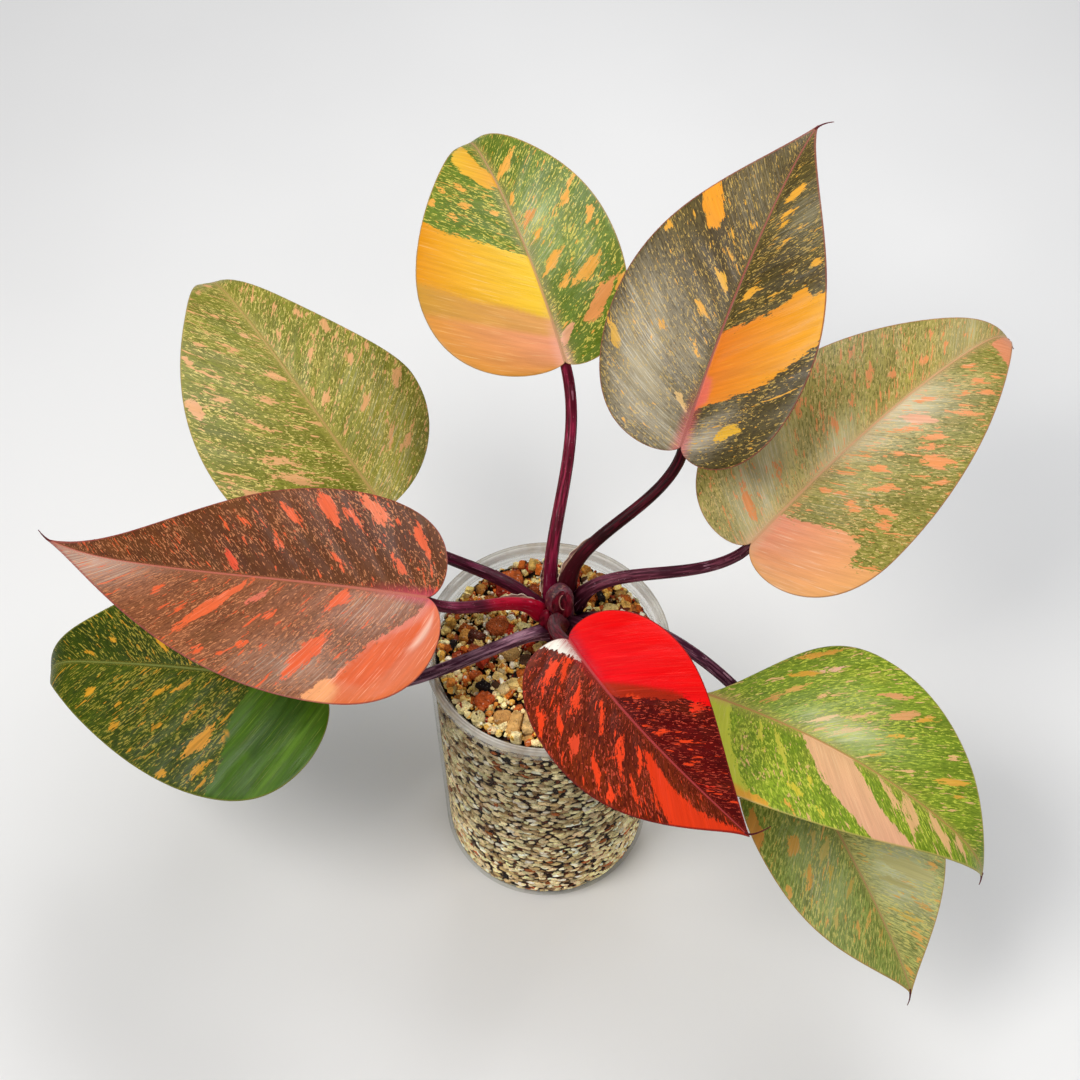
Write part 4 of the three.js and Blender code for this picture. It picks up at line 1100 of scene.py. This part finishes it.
def wall_radius(z):
    """Inner radius of the pot's wall at a height."""
    centre, inner = POT_BASE_RADIUS - FOOT_ROUND, FOOT_ROUND - WALL
    low = centre + np.sqrt(np.clip(inner ** 2 - (FLOOR + inner - z) ** 2, 0, None))
    return np.where(z < FLOOR + inner, low, INNER_FOOT[0] + WALL_FLARE * (z - INNER_FOOT[1]))


def pull_in(places, limit):
    """Moves places towards the pot's axis, in place, where they lie beyond a radius."""
    reach = np.hypot(places[:, 0], places[:, 1])
    places[:, :2] *= np.minimum(1, limit / np.maximum(reach, 1e-6))[:, None]


def make_fines(material):
    """The dark body of the mix: what shows between its grains."""
    heights = np.concatenate([np.linspace(2.2, 10, 8), np.linspace(13, 144, 60)])
    wall = [(wall_radius(z) - 1.1, z) for z in heights]
    rings = [(radius, 147.5) for radius in np.linspace(45.9, 0.8, 64)]
    profile = [(0, 2), (18, 2), (34, 2), *wall, (47.2, 145.6), (46.4, 146.3), *rings, (0, 147.5)]
    points, faces = lathe(profile, 200)
    x, y, z = points.T
    rough = wave_noise(points * 0.9, 11, octaves=5)
    top = z > 147.2
    points[top, 2] = mix_height(x[top], y[top]) - 2.3 + 0.9 * rough[top]
    side = (z > 3) & (z < 147)  # z is a view of the points, so it holds the new heights
    points[side, :2] *= (1 + 0.010 * rough[side])[:, None]
    piece("mix_fines", "mix", (points, faces), material, "potting_mix")


def grain_cloud(base, centres, halves, turned, rough, draw):
    """The shape of many rough grains, each a copy of the base shape."""
    points, faces = base
    bumps = 1 + rough * draw.uniform(-1, 1, (len(centres), len(points), 1))
    placed = np.einsum("nij,nkj->nki", turned, points * bumps * halves[:, None]) + centres[:, None]
    corners = faces + (np.arange(len(centres)) * len(points))[:, None, None]
    return placed.reshape(-1, 3), [corners.reshape(-1, 3)]


def pick_colours(draw, palette, count):
    """Colours drawn from a palette of colours and weights, each shifted a little."""
    colours, weights = zip(*read(palette))
    which = draw.choice(len(colours), count, p=np.array(weights) / sum(weights))
    colours = np.array([linear(colour) for colour in colours])[which]
    colours = colours * draw.uniform(0.72, 1.18, (count, 1)) * draw.uniform(0.94, 1.06, (count, 3))
    return np.clip(colours, 0, 1)


def make_wall_grains(material):
    """Grains pressed against the inside of the clear wall."""
    draw = np.random.default_rng(31)
    columns, rows = 68, 70
    column, row = np.meshgrid(np.arange(columns), np.arange(rows), indexing="ij")
    angle = (column + (row % 2) * 0.5 + draw.uniform(-0.5, 0.5, column.shape)) * 2 * np.pi / columns
    z = 4.5 + (row + draw.uniform(-0.42, 0.42, row.shape)) * WALL_ROW + 0.9 * np.sin(angle * 7 + row * 0.3)
    angle, z = angle.ravel(), np.clip(z.ravel(), 3.5, 145.2)
    count = len(angle)
    sizes = draw.uniform(0.62, 1.3, count)
    halves = np.stack([draw.uniform(0.8, 1.2, count), sizes * draw.uniform(1.7, 2.9, count),
                       sizes * draw.uniform(0.72, 1.0, count)], -1)
    radius = wall_radius(z) - 0.25 - halves[:, 0] * 0.85
    centres = np.stack([radius * np.cos(angle), radius * np.sin(angle), z], -1)
    turned = turns(angle, 2) @ turns(draw.normal(0, 0.22, count), 0)
    base = icosphere(1)
    points, faces = grain_cloud(base, centres, halves, turned, 0.24, draw)
    pull_in(points, wall_radius(points[:, 2]) - 0.12)
    points[:, 2] = np.clip(points[:, 2], 2.2, 146.6)
    colours = pick_colours(draw, WALL_PALETTE, count)
    cloud = wave_noise(centres * 0.06, 5)
    # The cloud gives random tone; painted shade darkens the upper rows under the leaves, and painted light
    # brightens the lowest rows.
    colours *= (1.42 + 0.25 * cloud - 0.5 * smooth_step(35, 125, z) + 0.5 * smooth_step(60, 8, z))[:, None]
    piece("wall_grains", "mix", (points, faces), material, shade=np.repeat(colours, len(base[0]), 0))


def make_lump(index, name, lump, level, material, *nodes):
    """A lump of bark or pumice, partly sunk in the mix."""
    x, y, *half, turn, colour = lump
    points, faces = icosphere(level)
    blocky = 0.6 if name.startswith("bark") else 0.72
    shaped = np.abs(points) ** blocky * np.sign(points)
    shaped /= np.maximum(1, np.abs(shaped).max(0))
    relief = 0.15 * wave_noise(points * 1.9, 40 + index) + 0.08 * wave_noise(points * 5, 60 + index, 5)
    swell = 0.08 * wave_noise(points * 1.1, 80 + index)
    shaped *= ((1 + relief) * 0.94 * (1 + swell))[:, None]
    shaped = np.clip(shaped, -1.04, 1.04) * half @ turns(np.radians([turn]), 2)[0].T
    top = MIX_TOP + MIX_MOUND * (0.5 - (x * x + y * y) / LEDGE_RADIUS ** 2)
    shaped += [x, y, top + half[2] * (1 - 2 * LUMP_SUNK)]
    tone = linear(colour) * (1 + 0.25 * wave_noise(points * 2.5, 90 + index))[:, None]
    piece(f"lump_{name}", name.split("_")[0], (shaped, [faces]), material, *nodes, shade=np.clip(tone, 0, 1))


def clear_of(lump):
    """Circles (x, y, radius) that a lump covers, seen from above."""
    x, y, *half, turn, _ = lump
    slim, wide = sorted(half[:2])
    way = math.radians(turn if half[0] > half[1] else turn + 90)
    steps = [(wide - slim) * share for share in (-1, 0, 1)]
    return [(x + step * math.cos(way), y + step * math.sin(way), slim * 0.95) for step in steps]


def scattered(draw, count, radius, clear):
    """Places on the top of the mix, outside the circles of what lies there."""
    places = []
    while len(places) < count:
        angle, reach = draw.uniform(0, 2 * math.pi), radius * math.sqrt(draw.uniform())
        x, y = reach * math.cos(angle), reach * math.sin(angle)
        if all(math.hypot(x - cx, y - cy) > size for cx, cy, size in clear):
            places.append((x, y))
    return np.array(places)


def make_top_grains(name, seed, count, small, large, palettes, clear, level, rough, material, rise=0.25,
                    gain=1.0, flat=False):
    """Loose grains on top of the mix. palettes: one for the left of the pot and one for the right."""
    draw = np.random.default_rng(seed)
    places = scattered(draw, count, TOP_REACH, clear)
    size = small + (large - small) * draw.uniform(0, 1, count) ** 2.2
    halves = size[:, None] * draw.uniform(0.72, 1.22, (count, 3))
    pull_in(places, TOP_LIMIT - halves.max(1))
    banked = 1.7 * smooth_step(37, 45.5, np.hypot(*places.T))  # the mix is banked up against the pot
    z = mix_height(*places.T) - 0.9 + halves[:, 2] * rise * 2 + banked
    centres = np.stack([*places.T, z], -1)
    turned = turns(draw.uniform(0, 6.3, count), 2) @ turns(draw.normal(0, 0.4, count), 0)
    points, faces = icosphere(level)
    if flat:  # chips: blocky and uneven instead of round
        points = np.sign(points) * np.abs(points) ** 0.45 * 0.92
        halves = halves * draw.uniform(0.55, 1.25, (count, 3))
    shape = grain_cloud((points, faces), centres, halves, turned, rough, draw)
    left, right = (pick_colours(draw, palette, count) for palette in palettes)
    lean = smooth_step(-12, 8, places[:, 0] + 0.35 * places[:, 1] + draw.normal(0, 7, count))
    colours = np.where((lean > 0.5)[:, None], right, left) * gain
    piece(name, "mix", shape, material, flat=flat, shade=np.repeat(colours, len(points), 0))


# ---- build
for number, (leaf, look, stalk) in enumerate(zip(LEAVES, LOOKS, STALKS), 1):
    make_blade(number, leaf, look)
    make_petiole(number, leaf, stalk)
thread_look = stalk_material("tip_thread_look", "4a0c14 8a2a30 4a0c14", 0, 1)
for number, bend in TIP_THREADS.items():
    make_tip_thread(number, bend, thread_look)

make_crown(crown_material())
bud_look = bud_material()
make_bud("crown_bud", CROWN_BUD, (0.05, 0.1), 3, bud_look)
make_bud("old_sheath_bud", OLD_SHEATH, (-0.1, 0.15), 5, bud_look)
for number, stub in enumerate(STUBS, 1):
    make_stub(number, stub, bud_look)
paper = papery_material()
for number, (leaf, side, reach, width) in enumerate(((1, 1, 20, 1.7), (1, -1, 17, 1.5), (2, 1, 24, 1.6),
                                                     (7, -1, 24, 1.7)), 1):
    make_flap(number, LEAVES[leaf - 1], side, reach, width, paper)
make_seam(stalk_material("bud_seam_look", "7a4440 c49a88 9a6a5c", 0, 1))

make_pot(plastic_material())
make_fines(fines_material())
make_wall_grains(grain_material("wall_grain_look", 1100, 0.28))
pumice_look = grain_material("pumice_look", 1000, 0.22)
bark_look = grain_material("bark_look", 1300, 0.42)
stem_clear = [(STEM_X, STEM_Y, STEM_RADIUS + 1.2)]
all_clear = list(stem_clear)
index = 0
for kind, lumps in LUMPS.items():
    for number, lump in enumerate(read(lumps), 1):
        name = f"{kind}_{number}"
        nodes = [name] if kind.endswith("piece") else []
        look = bark_look if kind.startswith("bark") else pumice_look
        make_lump(index, name, lump, 5 if nodes else 4, look, *nodes)
        all_clear += clear_of(lump)
        index += 1
make_top_grains("pumice_grains", 51, 1400, 0.65, 1.9, (PUMICE_PALETTE, PUMICE_PALETTE), all_clear, 2, 0.18,
                pumice_look, gain=1.2)
make_top_grains("bark_chips", 52, 470, 1.0, 3.1, (f"{PUMICE_PALETTE}, {BARK_PALETTE}", BARK_PALETTE),
                all_clear, 2, 0.2, bark_look, rise=0.3, flat=True)
make_top_grains("fine_crumbs", 53, 2200, 0.45, 0.95, (PUMICE_PALETTE, BARK_PALETTE), stem_clear, 1, 0.22,
                bark_look, rise=0.75)

# ---- floor, lights and camera
FLOOR_REACH = 9000
CAMERA_PLACE = (-0.003, -0.3945, 0.7987)  # in metres
CAMERA_PITCH = 34.8  # from looking straight down
floor_points = np.array([(-1, -1, 0), (1, -1, 0), (1, 1, 0), (-1, 1, 0)]) * FLOOR_REACH
mesh_object("studio_floor", (floor_points, [np.array([[0, 1, 2, 3]])]), floor_material())

world = bpy.data.worlds.new("studio")
scene.world = world
world.use_nodes = True
world.node_tree.nodes["Background"].inputs["Color"].default_value = (0.86, 0.88, 0.92, 1)
world.node_tree.nodes["Background"].inputs["Strength"].default_value = 0.34

for name, place, target, size, power, colour in (
        ("key", (-500, -350, 1100), (0, 0, 150), (0.42, 0.42), 7.8, (1, 0.98, 0.95)),
        ("overhead", (150, 500, 1000), (0, 30, 160), (0.55, 0.4), 5.6, (0.97, 0.98, 1)),
        ("fill", (750, -500, 650), (0, 0, 140), (0.8, 0.8), 2.2, (1, 1, 1))):
    lamp = bpy.data.lights.new(name, "AREA")
    lamp.shape = "RECTANGLE"
    lamp.size, lamp.size_y = size
    lamp.energy = power
    lamp.color = colour
    made = bpy.data.objects.new(name, lamp)
    made.location = np.array(place) * MM
    way = np.array(target, float) - place
    pitch = math.atan2(math.hypot(way[0], way[1]), -way[2])
    made.rotation_euler = (pitch, 0, math.atan2(way[1], way[0]) - math.pi / 2)
    scene.collection.objects.link(made)

camera = bpy.data.cameras.new("camera")
camera.lens = 60
camera.sensor_width = 36
camera_object = bpy.data.objects.new("camera", camera)
camera_object.location = CAMERA_PLACE
camera_object.rotation_euler = (math.radians(CAMERA_PITCH), 0, 0)
scene.collection.objects.link(camera_object)
scene.camera = camera_object
scene.view_settings.view_transform = "Standard"
